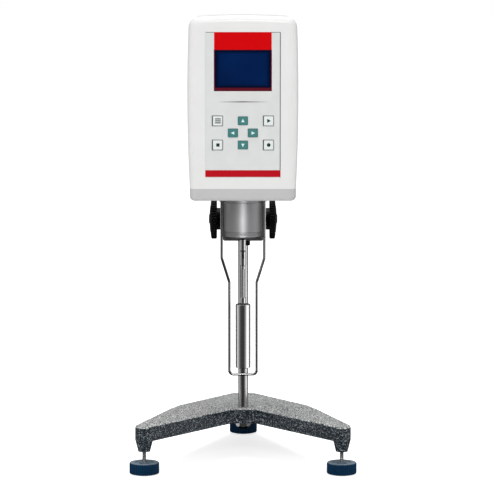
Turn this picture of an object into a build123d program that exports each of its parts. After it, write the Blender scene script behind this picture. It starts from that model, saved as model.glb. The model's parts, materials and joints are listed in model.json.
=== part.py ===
"""Rotational viscometer: a measuring head that slides on a geared post above a three-foot base casting.

Millimetres, +Z up, front towards -Y. The origin is on the surface that the feet stand on, below the middle
of the object's box. The post, the rotor axis and the feet are placed along Y from the post's axis.
"""
from build123d import *
from math import acos, cos, pi, radians, sin, tan
import os

os.makedirs("parts", exist_ok=True)

# ---- main heights ----
head_bottom = 276.0
skirt_height = 12.0
cover_height = 168.6
post_top = 392.0

skirt_top = head_bottom + skirt_height
head_top = skirt_top + cover_height

# ---- plan layout, measured from the post's axis ----
head_front = 116.0          # post axis to the front face of the head
head_rear = 12.0            # post axis to the rear face of the head
axis_forward = 62.0         # post axis to the rotor axis
foot_x = 98.6               # front feet, each side of the middle
front_foot_forward = 88.0
rear_foot_back = 137.0
foot_radius = 14.9

post_y = (head_front - rear_foot_back - foot_radius) / 2
axis_y = post_y - axis_forward
front_y = post_y - head_front
rear_y = post_y - head_rear
front_foot_y = post_y - front_foot_forward
rear_foot_y = post_y + rear_foot_back
feet = {
    "front_left": (-foot_x, front_foot_y),
    "front_right": (foot_x, front_foot_y),
    "rear": (0, rear_foot_y),
}

# ---- fits ----
running = 0.05              # radial clearance of a shaft that turns or slides
clear = 0.3                 # radial clearance between parts that only pass
seat = 0.02                 # clearance of a piece set in a pocket
overcut = 1.0               # how far a cutting shape runs past what it cuts
hexagon_sides = 6

# ---- edge breaks ----
fine_break = 0.3
small_break = 0.5
edge_break = 0.8
soft_break = 1.0

# ---- base casting ----
hub_top = 52.0
front_boss_top = 48.7
rear_end_top = 42.0
side_height = 15.0
rear_half_width = 12.4
rear_overhang = 9.0         # casting beyond the rear foot's axis
notch_forward = 11.0        # post axis to the flat at the root of the notch
notch_half_width = 11.5
boss_radius = 9.0
boss_tip_radius = 6.0
boss_bottom = 23.0
boss_taper_top = 35.0
casting_wall = 6.0
casting_round = 1.6
casting_corner = 4.0        # upright corners of the rear arm
facing_up = 0.5             # least upward slope of a face that counts as the casting's top
hub_radius = 13.0
hub_flat_back = 12.0        # level ground of the casting behind the post

# ---- levelling feet ----
screw_radius = 2.0
screw_top = 33.0
screw_bore_top = 39.5
knob_bottom = 0.8
knob_top = 12.0
pad_radius = 11.5
pad_height = 2.6
pad_stud_radius = 3.0
pad_stud_top = 5.2
stud_gap = 1.0              # pad's stud to the end of the screw
foot_ribs = 44
foot_rib_depth = 0.9
foot_dish_radius = 9.0
foot_dish_depth = 1.2
foot_hub_radius = 4.2
foot_hub_flare = 0.6

# ---- post and rack ----
post_radius = 5.2
post_spigot_radius = 4.0
post_spigot_bottom = 32.0
post_shoulder = hub_top - side_height   # underside of the hub, where the nut draws the post down
nut_across_flats = 13.0
nut_height = 7.5
nut_skirt = 3.5
nut_dome = 7.5
cap_radius = 6.4
cap_height = 9.0
cap_skirt = 6.0
gear_module = 1.0
pressure_angle = radians(20)
root_share = 1.25           # tooth root below the pitch line over the module
flank_steps = 3
tooth_share = 0.44          # tooth thickness over the pitch, the rest is space and backlash
rack_width = 4.0
rack_pitch_out = 5.4        # pitch line of the rack behind the post's axis
rack_back = 2.2             # rack's seat behind the post's axis
rack_length = 220.0
rack_end_gap = 26.0         # rack's top below the post's top

# ---- carriage and lift knobs ----
pinion_teeth = 14
pinion_width = 3.8
pinion_collar_radius = 4.5
pinion_drop = 29.6          # pinion's axis below the head
pinion_shaft_radius = 3.0
gear_gap = 0.1              # extra centre distance between pinion and rack
block_half_width = 20.5
block_height = 50.0
block_front = 12.0
block_rear = 24.5
block_round = 3.0
arm_half_width = 15.0
arm_thickness = 10.0
arm_reach = 21.0            # rotor axis to the front end of the arm
liner_length = 9.0
liner_wall = 2.0
bush_radius = 8.4
bush_inner = 4.0
bush_flange_radius = 10.5
bush_flange_outer = 23.0
bolt_radius = 2.0
bolt_head_radius = 3.5
bolt_head_height = 4.0
bolt_x = 10.0
bolt_front_inset = 1.5      # bolt heads to the arm's front end
bolt_rear_gap = 1.0         # bolt heads to the block
drag_screw_x = 4.4
drag_screw_radius = 2.8
drag_screw_head = 5.0
knob_radius = 20.6
knob_inner = 27.0
knob_outer = 35.35
knob_dome = 1.8
knob_hub_radius = 11.2
knob_hub_inner = 23.4
knob_ribs = 48
knob_rib_depth = 1.0
knob_edge_chamfer = 1.2
shaft_end_gap = 1.0         # shaft's end below the knob's cap
cap_sunk = 0.2
knob_cap_radius = 4.5
knob_cap_depth = 1.6

# ---- head housing ----
foot_half_width = 51.8      # at the skirt
waist_half_width = 54.0     # at the widest
shoulder_half_width = 52.4  # where the top corners start
waist_drop = 84.6           # widest height below the crown
crown_drop = 2.0            # top corners below the middle of the crown
top_corner_radius = 11.0
wall = 3.0
front_round = 6.5
rear_round = 5.0
skirt_round = 4.5
skirt_floor = 4.0
parting_forward = 58.0      # post axis to the seam between front and rear covers
seam = 0.5

# ---- front panel ----
recess_depth = 1.4
overlay_thickness = 0.9
overlay_width = 73.3
overlay_rise = 10.9           # overlay's bottom above the skirt
overlay_drop = 16.3         # overlay's top below the crown
overlay_corner = 0.7
window_width = 55.8
header_height = 17.3        # red heading, from the overlay's top to the display
lcd_height = 37.0
bezel_foot = 2.7            # frame below the display
stripe_lift = 0.7           # lower stripe above the overlay's bottom
stripe_height = 6.6
divider_drop = 67.6         # divider below the overlay's top
divider_height = 0.8
divider_width = 47.0
accent_proud = 0.15
high_row_drop = 86.0        # key rows below the overlay's top
mid_row_drop = 97.8
low_row_drop = 109.5
outer_key_x = 24.8
side_key_x = 9.7
frame_key = (10.7, 10.2)
arrow_key = (9.6, 8.2)
key_corner = 0.6
key_gap = 0.25
key_proud = 0.5
key_travel = 0.4
key_flange = 0.8
key_flange_thickness = 1.0
key_stem_radius = 1.6
key_board_gap = 0.8
standoff_x = 40.0
standoff_inset = 12.0       # standoffs inside the overlay's top and bottom
standoff_radius = 3.0
standoff_length = 6.5
bezel_side = 0.8
bezel_depth = 3.5
lcd_sunk = 0.5

# ---- neck, guard and rotor ----
neck_radius = 19.05
neck_height = 35.0
neck_edge = 0.5
ring_height = 6.0
ring_bevel = 1.6
ring_radius = 18.4
neck_groove_drop = 5.0      # groove's middle below the head
neck_groove_height = 1.4
neck_groove_depth = 0.6
neck_spigot_radius = 15.0
neck_spigot_height = 7.0
neck_bore_radius = 11.0
neck_web = 4.0
ring_hole_radius = 5.0
guard_wire_radius = 1.35
guard_upper_x = 21.3
guard_lower_x = 13.75
guard_length = 179.6        # head to the guard's lower bar
guard_upper_length = 62.0   # head to the first bend
guard_slope_height = 24.0   # first bend to the second
guard_bend_radius = 5.0
guard_corner_radius = 4.0
ferrule_radius = 2.2
ferrule_height = 5.5
spindle_radius = 2.0
fork_radius = 3.1
fork_drop = 2.0             # fork's top below the neck's ring
upper_pin_drop = 6.3        # upper pin below the fork's top
fork_tail = 4.7             # fork below the upper pin
fork_slot_rise = 3.5        # fork's slot above the upper pin
fork_bevel = 0.4
pin_spacing = 9.1
link_radius = 2.3
link_break = 0.3
link_thickness = 2.0
link_gap = 0.15
socket_ear = 3.4            # socket above the lower pin
socket_slot_drop = 4.0      # socket's slot below the lower pin
socket_body_length = 14.0
socket_neck_length = 4.0
socket_neck_wall = 0.6
cross_pin_radius = 0.7
rotor_radius = 7.5
rotor_shaft_length = 35.3   # socket to the rotor's body
rotor_length = 64.4
rotor_edge = 0.5
rotor_collar_neck = 1.0
rotor_collar_bevel = 0.6
rotor_collar_radius = 3.0
rotor_collar_height = 7.0
rotor_shaft_radius = 1.6
rotor_grip = 8.0

# ---- drive inside the head ----
motor_radius = 22.0
motor_length = 42.0
motor_bevel = 1.5
bridge_height = 46.0        # plate above the head's floor
bridge_thickness = 4.0
bridge_half = 27.0
bridge_leg_radius = 3.5
bridge_leg_inset = 4.5
drive_radius = 2.5
drive_disc_radius = 17.0
drive_disc_drop = 4.0       # drive disc below the plate
disc_thickness = 2.0
disc_spacing = 8.0          # drive disc to spindle disc
disc_slots = 12
slot_ring_share = 0.8       # ring of slots over the disc's radius
slot_length_share = 0.2
pivot_radius = 1.5
pivot_length = 5.0
pivot_socket = 3.0          # depth of the pivot's seat in the drive
pivot_end_gap = 0.5
hub_share = 2.0             # hub's radius over its shaft's

# ---- fittings on the rear cover and the top ----
fittings_rise = 24.0        # row of fittings above the skirt
inlet_x = -24.0
inlet_width = 27.0
inlet_height = 20.0
inlet_depth = 16.0
flange_margin = 4.0
flange_thickness = 2.0
switch_x = 8.0
switch_width = 13.0
switch_height = 19.0
port_x = 33.0
port_width = 17.0
port_height = 8.6
port_depth = 6.0
port_slant = 1.5            # each side of the port leans in by this much
port_flange_width = 29.0
port_flange_thickness = 1.0
port_flange_corner = 1.5
port_stud_radius = 2.4
port_stud_height = 4.0
switch_corner = 1.0
rocker_tilt = 7.0
vent_slots = 7
vent_pitch = 6.0
vent_height = 2.4
vent_width = 50.0
vent_drop = 56.6            # middle of the vents below the crown
cover_screw_radius = 2.6
cover_screw_x = 42.0
cover_screw_low = 12.0      # lower screws above the skirt
cover_screw_high = 20.6     # upper screws below the crown
level_y = -34.0             # bubble level's centre, from the post's axis
level_radius = 9.0
level_ring_radius = 11.0
level_depth = 7.0
level_dome = 1.0
level_dome_drop = 1.0       # dome's top below the level's seat
level_sunk = 0.3
level_bevel = 0.6
inlet_mouth_x = 11.8
inlet_mouth_z = 8.2
inlet_key = 3.6
switch_depth = 12.0
rocker_width = 8.0
rocker_height = 14.4
rocker_back = 5.0
rocker_front = 2.6
rocker_waist = 1.4
rocker_pin_radius = 1.0
rocker_pin_length = 1.5
cover_screw_head = 2.2
cover_screw_sunk = 0.3
base_screw_radius = 2.0
base_screw_head = 3.4
socket_share = 0.8          # hexagon socket over the screw's radius
board_thickness = 1.6
board_margin = 4.0          # board beyond its screws
board_corner = 2.0
chip_height = 3.0
chip_width = 14.0
chip_length = 20.0
chip_spacing = 27.4
supply_width = 72.0
supply_depth = 16.0
supply_height = 13.0
supply_forward = 24.0       # supply ahead of the post's axis
supply_edge = 1.0           # bare rim of its board
supply_core = 24.0          # length of its transformer
supply_core_x = -18.0
supply_can_x = 14.4

# ---- heights that follow from the ones above ----
rack_top = post_top - rack_end_gap
rack_bottom = rack_top - rack_length
block_top = head_bottom
block_bottom = block_top - block_height
pinion_z = head_bottom - pinion_drop
waist_z = head_top - waist_drop
overlay_top = head_top - overlay_drop
overlay_bottom = skirt_top + overlay_rise
lcd_top = overlay_top - header_height
lcd_bottom = lcd_top - lcd_height
bezel_bottom = lcd_bottom - bezel_foot
stripe_bottom = overlay_bottom + stripe_lift
divider_z = overlay_top - divider_drop
key_row_high = overlay_top - high_row_drop
key_row_mid = overlay_top - mid_row_drop
key_row_low = overlay_top - low_row_drop
standoff_rows = (overlay_bottom + standoff_inset, overlay_top - standoff_inset)
cover_screw_rows = (skirt_top + cover_screw_low, head_top - cover_screw_high)
inlet_z = skirt_top + fittings_rise
vent_z = head_top - vent_drop
floor_z = head_bottom + skirt_floor
bridge_bottom = floor_z + bridge_height
drive_disc_top = bridge_bottom - drive_disc_drop
spindle_disc_top = drive_disc_top - disc_spacing
pivot_top = spindle_disc_top + pivot_length
neck_bottom = head_bottom - neck_height
ring_bottom = neck_bottom - ring_height
fork_top = ring_bottom - fork_drop
upper_pin_z = fork_top - upper_pin_drop
fork_bottom = upper_pin_z - fork_tail
lower_pin_z = upper_pin_z - pin_spacing
socket_top = lower_pin_z + socket_ear
socket_neck = socket_top - socket_body_length
socket_bottom = socket_neck - socket_neck_length
rotor_top = socket_bottom - rotor_shaft_length
guard_bend_high = head_bottom - guard_upper_length
guard_bend_low = guard_bend_high - guard_slope_height
guard_bar_z = head_bottom - guard_length
supply_y = post_y - supply_forward


def save(part, label):
    """Names a finished piece and writes it as its own file."""
    part.label = label
    export_step(part, f"parts/{label}.step")


def front_plane(y):
    """Plane facing the front, with X to the right and its second axis upwards."""
    return Plane((0, y, 0), x_dir=(1, 0, 0), z_dir=(0, -1, 0))


def side_plane(x):
    """Plane across X, with the front-to-back direction first and its second axis upwards."""
    return Plane((x, 0, 0), x_dir=(0, 1, 0), z_dir=(1, 0, 0))


def ribbed_points(radius, depth, count):
    """Corners of a wheel outline whose edge carries sharp ribs: tips and roots by turns."""
    step = pi / count
    rim = [radius - depth * (i % 2) for i in range(2 * count)]
    return [(r * cos(i * step), r * sin(i * step)) for i, r in enumerate(rim)]


def dome_radius(rim, rise):
    """Radius of a dome that rises by so much over a rim of that radius."""
    return (rim**2 + rise**2) / (2 * rise)


def beside(start, centre, radius, side):
    """Point of a circle beside its centre, square to the line that comes from start."""
    along = (Vector(*centre) - Vector(*start)).normalized()
    return Vector(*centre) + Vector(along.Y, -along.X) * radius * side


# ================= base =================
rear_end = rear_foot_y + rear_overhang
notch_y = post_y - notch_forward
tip = (foot_x, front_foot_y)
outer_tip = beside((rear_half_width, rear_end), tip, boss_radius, -1)
inner_tip = beside((notch_half_width, notch_y), tip, boss_radius, 1)


def casting_plan(inset):
    """Arrow-shaped plan of the casting: two front arms, a notch between them and a long rear arm."""
    with BuildSketch() as plan:
        with BuildLine():
            Polyline(
                (0, rear_end),
                (rear_half_width, rear_end),
                outer_tip,
                inner_tip,
                (notch_half_width, notch_y),
                (0, notch_y),
            )
            mirror(about=Plane.YZ)
        make_face()
        if inset:
            offset(amount=-inset)
    return plan.sketch


def casting_side(drop, depth):
    """Side view of the casting's walls: level at the hub, falling to the feet."""
    ends = (front_foot_y - boss_radius, rear_end)
    crest = (notch_y, post_y + hub_flat_back)
    tops = [(ends[0], front_boss_top), (crest[0], hub_top), (crest[1], hub_top), (ends[1], rear_end_top)]
    with BuildSketch(side_plane(0)) as outline:
        with BuildLine():
            upper = [(y, z - drop) for y, z in tops]
            lower = [(y, z - depth) for y, z in reversed(tops)]
            Polyline(*upper, *lower, close=True)
        make_face()
    return outline.sketch


with BuildPart() as casting_core:
    extrude(casting_plan(casting_wall), amount=hub_top)
    extrude(casting_side(casting_wall, side_height + overcut), amount=foot_x, both=True, mode=Mode.INTERSECT)

with BuildPart() as base_casting:
    extrude(casting_plan(0), amount=hub_top)
    extrude(casting_side(0, side_height), amount=2 * foot_x, both=True, mode=Mode.INTERSECT)
    rear_corners = base_casting.edges().filter_by(Axis.Z).group_by(Axis.Y)[-1]
    fillet(rear_corners, radius=casting_corner)
    tops = base_casting.faces().filter_by(lambda face: face.normal_at().Z > facing_up)
    fillet(tops.edges(), radius=casting_round)
    add(casting_core.part, mode=Mode.SUBTRACT)
    with BuildSketch(Plane((0, post_y, post_shoulder))):
        Circle(hub_radius - casting_round)
    extrude(amount=hub_top - post_shoulder - casting_round)
    for place in feet.values():
        top = rear_end_top if place[0] == 0 else front_boss_top
        with BuildSketch(Plane((*place, boss_bottom), x_dir=(1, 0, 0), z_dir=(0, -1, 0))):
            with BuildLine():
                Polyline(
                    (0, 0),
                    (boss_tip_radius, 0),
                    (boss_radius, boss_taper_top - boss_bottom),
                    (boss_radius, top - boss_bottom - casting_round),
                    (boss_radius - casting_round, top - boss_bottom),
                    (0, top - boss_bottom),
                    close=True,
                )
            make_face()
        revolve(axis=Axis(place, (0, 0, 1)))
    with Locations((0, post_y, hub_top)):
        Hole(post_radius)
    with Locations(*[Plane((*place, boss_bottom), z_dir=(0, 0, -1)) for place in feet.values()]):
        Hole(screw_radius + running, depth=screw_bore_top - boss_bottom)
save(base_casting.part, "base_casting")

# ================= post, rack and what holds them =================
with BuildPart() as post:
    with BuildSketch(Plane((0, post_y, post_shoulder))):
        Circle(post_radius)
    extrude(amount=post_top - post_shoulder)
    with BuildSketch(Plane((0, post_y, post_spigot_bottom))):
        Circle(post_spigot_radius)
    extrude(amount=post_shoulder - post_spigot_bottom)
    with BuildSketch(Plane((0, post_y + rack_back + post_radius / 2, rack_bottom))):
        Rectangle(rack_width, post_radius)
    extrude(amount=rack_top - rack_bottom, mode=Mode.SUBTRACT)
    chamfer(post.edges().group_by(Axis.Z)[-1], length=edge_break)
save(post.part, "post")

pitch = pi * gear_module
tooth_flank = tan(pressure_angle) * gear_module
half_tooth = pitch * tooth_share / 2
rack_tip = rack_pitch_out + gear_module
tooth_root = root_share * gear_module
rack_root = rack_pitch_out - tooth_root
root_flank = tan(pressure_angle) * tooth_root


def rack_teeth(first, last):
    """Straight-sided teeth up the rack, one of them level with the pinion."""
    corners = []
    for number in range(first, last + 1):
        middle = pinion_z + number * pitch
        corners += [
            (post_y + rack_root, middle - half_tooth - root_flank),
            (post_y + rack_tip, middle - half_tooth + tooth_flank),
            (post_y + rack_tip, middle + half_tooth - tooth_flank),
            (post_y + rack_root, middle + half_tooth + root_flank),
        ]
    return corners


lowest_tooth = -int((pinion_z - rack_bottom) / pitch) + 1
highest_tooth = int((rack_top - pinion_z) / pitch) - 1
with BuildPart() as rack:
    with BuildSketch(side_plane(0)):
        with BuildLine():
            Polyline(
                (post_y + rack_back, rack_bottom),
                (post_y + rack_root, rack_bottom),
                *rack_teeth(lowest_tooth, highest_tooth),
                (post_y + rack_root, rack_top),
                (post_y + rack_back, rack_top),
                close=True,
            )
        make_face()
    extrude(amount=rack_width / 2, both=True)
save(rack.part, "rack")

with BuildPart() as post_cap:
    with BuildSketch(front_plane(post_y)):
        with BuildLine():
            dome = post_top + cap_height - cap_skirt
            Line((0, post_top), (post_radius + seat, post_top))
            Line((post_radius + seat, post_top), (post_radius + seat, post_top - cap_skirt))
            Line((post_radius + seat, post_top - cap_skirt), (cap_radius, post_top - cap_skirt))
            Line((cap_radius, post_top - cap_skirt), (cap_radius, post_top))
            RadiusArc((cap_radius, post_top), (0, dome), -dome_radius(cap_radius, dome - post_top))
            Line((0, dome), (0, post_top))
        make_face()
    revolve(axis=Axis((0, post_y, 0), (0, 0, 1)))
save(post_cap.part, "post_cap")

with BuildPart() as post_nut:
    with BuildSketch(Plane((0, post_y, post_shoulder), x_dir=(1, 0, 0), z_dir=(0, -1, 0))):
        with BuildLine():
            Line((0, -nut_height), (0, 0))
            Line((0, 0), (nut_across_flats, 0))
            Line((nut_across_flats, 0), (nut_dome, -nut_skirt))
            RadiusArc((nut_dome, -nut_skirt), (0, -nut_height), dome_radius(nut_dome, nut_height - nut_skirt))
        make_face()
    revolve(axis=Axis((0, post_y, 0), (0, 0, 1)))
    with BuildSketch(Plane((0, post_y, post_shoulder - nut_height))):
        RegularPolygon(nut_across_flats / 2, hexagon_sides, major_radius=False)
    extrude(amount=nut_height, mode=Mode.INTERSECT)
    with BuildSketch(Plane((0, post_y, post_spigot_bottom))):
        Circle(post_spigot_radius)
    extrude(amount=nut_height, mode=Mode.SUBTRACT)
save(post_nut.part, "post_nut")

# ================= levelling feet =================
screw_bottom = pad_stud_top + stud_gap
for name, place in feet.items():
    with BuildPart() as foot_pad:
        with BuildSketch(Plane((*place, 0))):
            Circle(pad_radius)
        extrude(amount=pad_height)
        with BuildSketch(Plane((*place, 0))):
            Circle(pad_stud_radius)
        extrude(amount=pad_stud_top)
        chamfer(foot_pad.edges().group_by(Axis.Z)[0], length=small_break)
    save(foot_pad.part, f"foot_pad_{name}")

    with BuildPart() as foot_knob:
        with BuildSketch(Plane((*place, 0), x_dir=(1, 0, 0), z_dir=(0, -1, 0))):
            with BuildLine():
                Polyline(
                    (0, knob_bottom),
                    (foot_radius - soft_break, knob_bottom),
                    (foot_radius, knob_bottom + soft_break),
                    (foot_radius, knob_top - soft_break),
                    (foot_radius - soft_break, knob_top),
                    (foot_dish_radius + soft_break, knob_top),
                    (foot_dish_radius, knob_top - foot_dish_depth),
                    (foot_hub_radius + foot_hub_flare, knob_top - foot_dish_depth),
                    (foot_hub_radius, knob_top),
                    (0, knob_top),
                    close=True,
                )
            make_face()
        revolve(axis=Axis(place, (0, 0, 1)))
        with BuildSketch(Plane((*place, knob_bottom))):
            with BuildLine():
                Polyline(*ribbed_points(foot_radius, foot_rib_depth, foot_ribs), close=True)
            make_face()
        extrude(amount=knob_top - knob_bottom, mode=Mode.INTERSECT)
        with BuildSketch(Plane((*place, knob_bottom))):
            Circle(pad_radius + clear)
        extrude(amount=pad_height - knob_bottom, mode=Mode.SUBTRACT)
        with BuildSketch(Plane((*place, knob_bottom))):
            Circle(pad_stud_radius + running)
        extrude(amount=pad_stud_top - knob_bottom, mode=Mode.SUBTRACT)
        with BuildSketch(Plane((*place, screw_bottom))):
            Circle(screw_radius)
        extrude(amount=knob_top, mode=Mode.SUBTRACT)
    save(foot_knob.part, f"foot_knob_{name}")

    with BuildPart() as foot_screw:
        with BuildSketch(Plane((*place, screw_bottom))):
            Circle(screw_radius)
        extrude(amount=screw_top - screw_bottom)
        chamfer(foot_screw.edges().group_by(Axis.Z)[-1], length=small_break)
    save(foot_screw.part, f"foot_screw_{name}")

# ================= carriage =================
pitch_radius = gear_module * pinion_teeth / 2
pinion_y = post_y + rack_pitch_out + pitch_radius + gear_gap
arm_front = axis_y + arm_reach
bolt_rows = (
    arm_front + bolt_head_radius + bolt_front_inset,
    post_y - block_front - bolt_head_radius - bolt_rear_gap,
)
bolt_places = [(x, y) for x in (-bolt_x, bolt_x) for y in bolt_rows]
liner_radius = post_radius + liner_wall
tooth_channel = rack_width / 2 + clear
channel_back = post_y + rack_tip + clear

with BuildPart() as carriage_block:
    with BuildSketch(Plane.XY.offset(block_bottom)):
        with Locations((0, post_y + (block_rear - block_front) / 2)):
            RectangleRounded(2 * block_half_width, block_front + block_rear, block_round)
    extrude(amount=block_top - block_bottom)
    with BuildSketch(Plane.XY.offset(head_bottom - arm_thickness)):
        with Locations((0, (arm_front + post_y - block_front / 2) / 2)):
            Rectangle(2 * arm_half_width, post_y - block_front / 2 - arm_front)
    extrude(amount=arm_thickness)
    chamfer(carriage_block.faces().sort_by(Axis.Z)[0].edges(), length=soft_break)
    with Locations((0, post_y, block_top)):
        Hole(post_radius + clear)
    with Locations((0, post_y, block_top), Plane((0, post_y, block_bottom), z_dir=(0, 0, -1))):
        Hole(liner_radius, depth=liner_length)
    with BuildSketch(Plane.XY.offset(block_bottom)):
        with Locations((0, (post_y + channel_back) / 2)):
            Rectangle(2 * tooth_channel, channel_back - post_y)
    extrude(amount=block_top - block_bottom, mode=Mode.SUBTRACT)
    with BuildSketch(side_plane(-block_half_width)):
        with Locations((pinion_y, pinion_z)):
            Circle(bush_radius)
    extrude(amount=2 * block_half_width, mode=Mode.SUBTRACT)
    with Locations(*[(x, y, head_bottom) for x, y in bolt_places]):
        Hole(bolt_radius + seat)
save(carriage_block.part, "carriage_block")

with BuildPart() as carriage_liners:
    for low in (block_bottom, block_top - liner_length):
        with BuildSketch(Plane((0, post_y, low))):
            Circle(liner_radius)
            Circle(post_radius + running, mode=Mode.SUBTRACT)
            with Locations((0, liner_radius / 2)):
                Rectangle(2 * tooth_channel, liner_radius, mode=Mode.SUBTRACT)
        extrude(amount=liner_length)
save(carriage_liners.part, "carriage_liners")

with BuildPart() as pinion_bushes:
    for side in (-1, 1):
        with BuildSketch(side_plane(side * bush_inner)):
            with Locations((pinion_y, pinion_z)):
                Circle(bush_radius)
                Circle(pinion_shaft_radius + running, mode=Mode.SUBTRACT)
        extrude(amount=side * (block_half_width - bush_inner))
        with BuildSketch(side_plane(side * block_half_width)):
            with Locations((pinion_y, pinion_z)):
                Circle(bush_flange_radius)
                Circle(pinion_shaft_radius + running, mode=Mode.SUBTRACT)
        extrude(amount=side * (bush_flange_outer - block_half_width))
save(pinion_bushes.part, "pinion_bushes")

with BuildPart() as drag_screw:
    with BuildSketch(Plane((drag_screw_x, post_y - post_radius - liner_wall, block_bottom))):
        Circle(drag_screw_radius)
    extrude(amount=-drag_screw_head)
    fillet(drag_screw.edges().group_by(Axis.Z)[0], radius=edge_break)
save(drag_screw.part, "drag_screw")

with BuildPart() as arm_bolts:
    for x, y in bolt_places:
        with BuildSketch(Plane((x, y, head_bottom - arm_thickness))):
            Circle(bolt_head_radius)
        extrude(amount=-bolt_head_height)
        with BuildSketch(Plane((x, y, head_bottom - arm_thickness))):
            Circle(bolt_radius)
        extrude(amount=arm_thickness + skirt_floor)
save(arm_bolts.part, "arm_bolts")


def involute(angle):
    """Involute function of an angle."""
    return tan(angle) - angle


def pinion_outline():
    """Corners of the pinion: each flank follows the involute from the base circle to the tip."""
    base_radius = pitch_radius * cos(pressure_angle)
    tip_radius = pitch_radius + gear_module
    root_radius = pitch_radius - tooth_root
    half_angle = pi * tooth_share / pinion_teeth
    flank = []
    for step in range(flank_steps + 1):
        radius = base_radius + (tip_radius - base_radius) * step / flank_steps
        flank.append((radius, half_angle + involute(pressure_angle) - involute(acos(base_radius / radius))))
    flank.insert(0, (root_radius, flank[0][1]))
    corners = []
    for tooth in range(pinion_teeth):
        middle = 2 * pi * (tooth + 0.5) / pinion_teeth
        corners += [(r * cos(middle - a), r * sin(middle - a)) for r, a in flank]
        corners += [(r * cos(middle + a), r * sin(middle + a)) for r, a in reversed(flank)]
    return corners


shaft_end = knob_outer - knob_cap_depth - shaft_end_gap
with BuildPart() as pinion_shaft:
    pinion_place = Plane((-pinion_width / 2, pinion_y, pinion_z), x_dir=(0, -1, 0), z_dir=(1, 0, 0))
    with BuildSketch(pinion_place):
        with BuildLine():
            Polyline(*pinion_outline(), close=True)
        make_face()
    extrude(amount=pinion_width)
    with BuildSketch(side_plane(0)):
        with Locations((pinion_y, pinion_z)):
            Circle(pinion_collar_radius)
    extrude(amount=bush_inner - running, both=True)
    with BuildSketch(side_plane(0)):
        with Locations((pinion_y, pinion_z)):
            Circle(pinion_shaft_radius)
    extrude(amount=shaft_end, both=True)
save(pinion_shaft.part, "pinion_shaft")

for name, side in (("left", -1), ("right", 1)):
    knob_plane = Plane((0, pinion_y, pinion_z), x_dir=(0, -1, 0), z_dir=(side, 0, 0))
    with BuildPart() as lift_knob:
        with BuildSketch(Plane((0, pinion_y, pinion_z), x_dir=(side, 0, 0), z_dir=(0, -1, 0))):
            with BuildLine():
                Polyline(
                    (knob_outer, 0),
                    (knob_hub_inner, 0),
                    (knob_hub_inner, knob_hub_radius),
                    (knob_inner, knob_hub_radius),
                    (knob_inner, knob_radius - knob_edge_chamfer),
                    (knob_inner + knob_edge_chamfer, knob_radius),
                    (knob_outer - knob_dome - knob_edge_chamfer, knob_radius),
                    (knob_outer - knob_dome, knob_radius - knob_edge_chamfer),
                )
                RadiusArc(
                    (knob_outer - knob_dome, knob_radius - knob_edge_chamfer),
                    (knob_outer, 0),
                    -dome_radius(knob_radius - knob_edge_chamfer, knob_dome),
                )
            make_face()
        revolve(axis=Axis((0, pinion_y, pinion_z), (1, 0, 0)))
        with BuildSketch(knob_plane):
            with BuildLine():
                Polyline(*ribbed_points(knob_radius, knob_rib_depth, knob_ribs), close=True)
            make_face()
        extrude(amount=knob_outer, mode=Mode.INTERSECT)
        with BuildSketch(knob_plane):
            Circle(pinion_shaft_radius + seat)
        extrude(amount=shaft_end + seat, mode=Mode.SUBTRACT)
        with BuildSketch(knob_plane.offset(knob_outer - knob_cap_depth)):
            Circle(knob_cap_radius)
        extrude(amount=knob_cap_depth, mode=Mode.SUBTRACT)
    save(lift_knob.part, f"lift_knob_{name}")

with BuildPart() as knob_caps:
    for side in (-1, 1):
        with BuildSketch(side_plane(side * (knob_outer - knob_cap_depth))):
            with Locations((pinion_y, pinion_z)):
                Circle(knob_cap_radius)
        extrude(amount=side * (knob_cap_depth - cap_sunk))
save(knob_caps.part, "knob_caps")

# ================= head housing =================
seam_y = post_y - parting_forward
head_middle_y = (front_y + rear_y) / 2
head_depth = rear_y - front_y
panel_wall = recess_depth + wall
inner_face_y = front_y + panel_wall
overlay_face_y = front_y + recess_depth - overlay_thickness


def head_outline(y, inset, foot=0):
    """Front view of the covers: bowed sides, a crowned top and round top corners, drawn in by an inset."""
    corner = (shoulder_half_width - inset, head_top - crown_drop - inset)
    waist = (waist_half_width - inset, waist_z)
    heel = (foot_half_width - inset, skirt_top - foot)
    with BuildSketch(front_plane(y)) as outline:
        with BuildLine():
            Line((0, heel[1]), heel)
            ThreePointArc(heel, waist, corner)
            RadiusArc(corner, (0, head_top - inset), -dome_radius(corner[0], crown_drop))
            mirror(about=Plane.YZ)
        make_face()
        fillet(outline.vertices().group_by(Axis.Y)[-1], radius=top_corner_radius - inset)
    return outline.sketch


def cavity(y):
    """Hollow of a cover, open at its foot so that the chassis reaches up into it."""
    return head_outline(y, wall, foot=wall)


key_places = {
    "key_upper_left": (-outer_key_x, key_row_high),
    "key_upper_right": (outer_key_x, key_row_high),
    "key_lower_left": (-outer_key_x, key_row_low),
    "key_lower_right": (outer_key_x, key_row_low),
    "key_up": (0, key_row_high),
    "key_down": (0, key_row_low),
    "key_left": (-side_key_x, key_row_mid),
    "key_right": (side_key_x, key_row_mid),
}
window_middle = (bezel_bottom + lcd_top) / 2
window_height = lcd_top - bezel_bottom
standoffs = [(x, z) for x in (-standoff_x, standoff_x) for z in standoff_rows]


def key_outline(name, margin):
    """Draws one key's cap in the sketch in hand, grown all round by a margin."""
    framed = "upper" in name or "lower" in name
    width, height = frame_key if framed else arrow_key
    with Locations(key_places[name]):
        RectangleRounded(width + 2 * margin, height + 2 * margin, key_corner + margin)


def panel_holes(y, margin):
    """Openings of the display and of all the keys, seen from the front."""
    with BuildSketch(front_plane(y)) as holes:
        with Locations((0, window_middle)):
            Rectangle(window_width + 2 * margin, window_height + 2 * margin)
        for name in key_places:
            key_outline(name, margin)
    return holes.sketch


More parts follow.
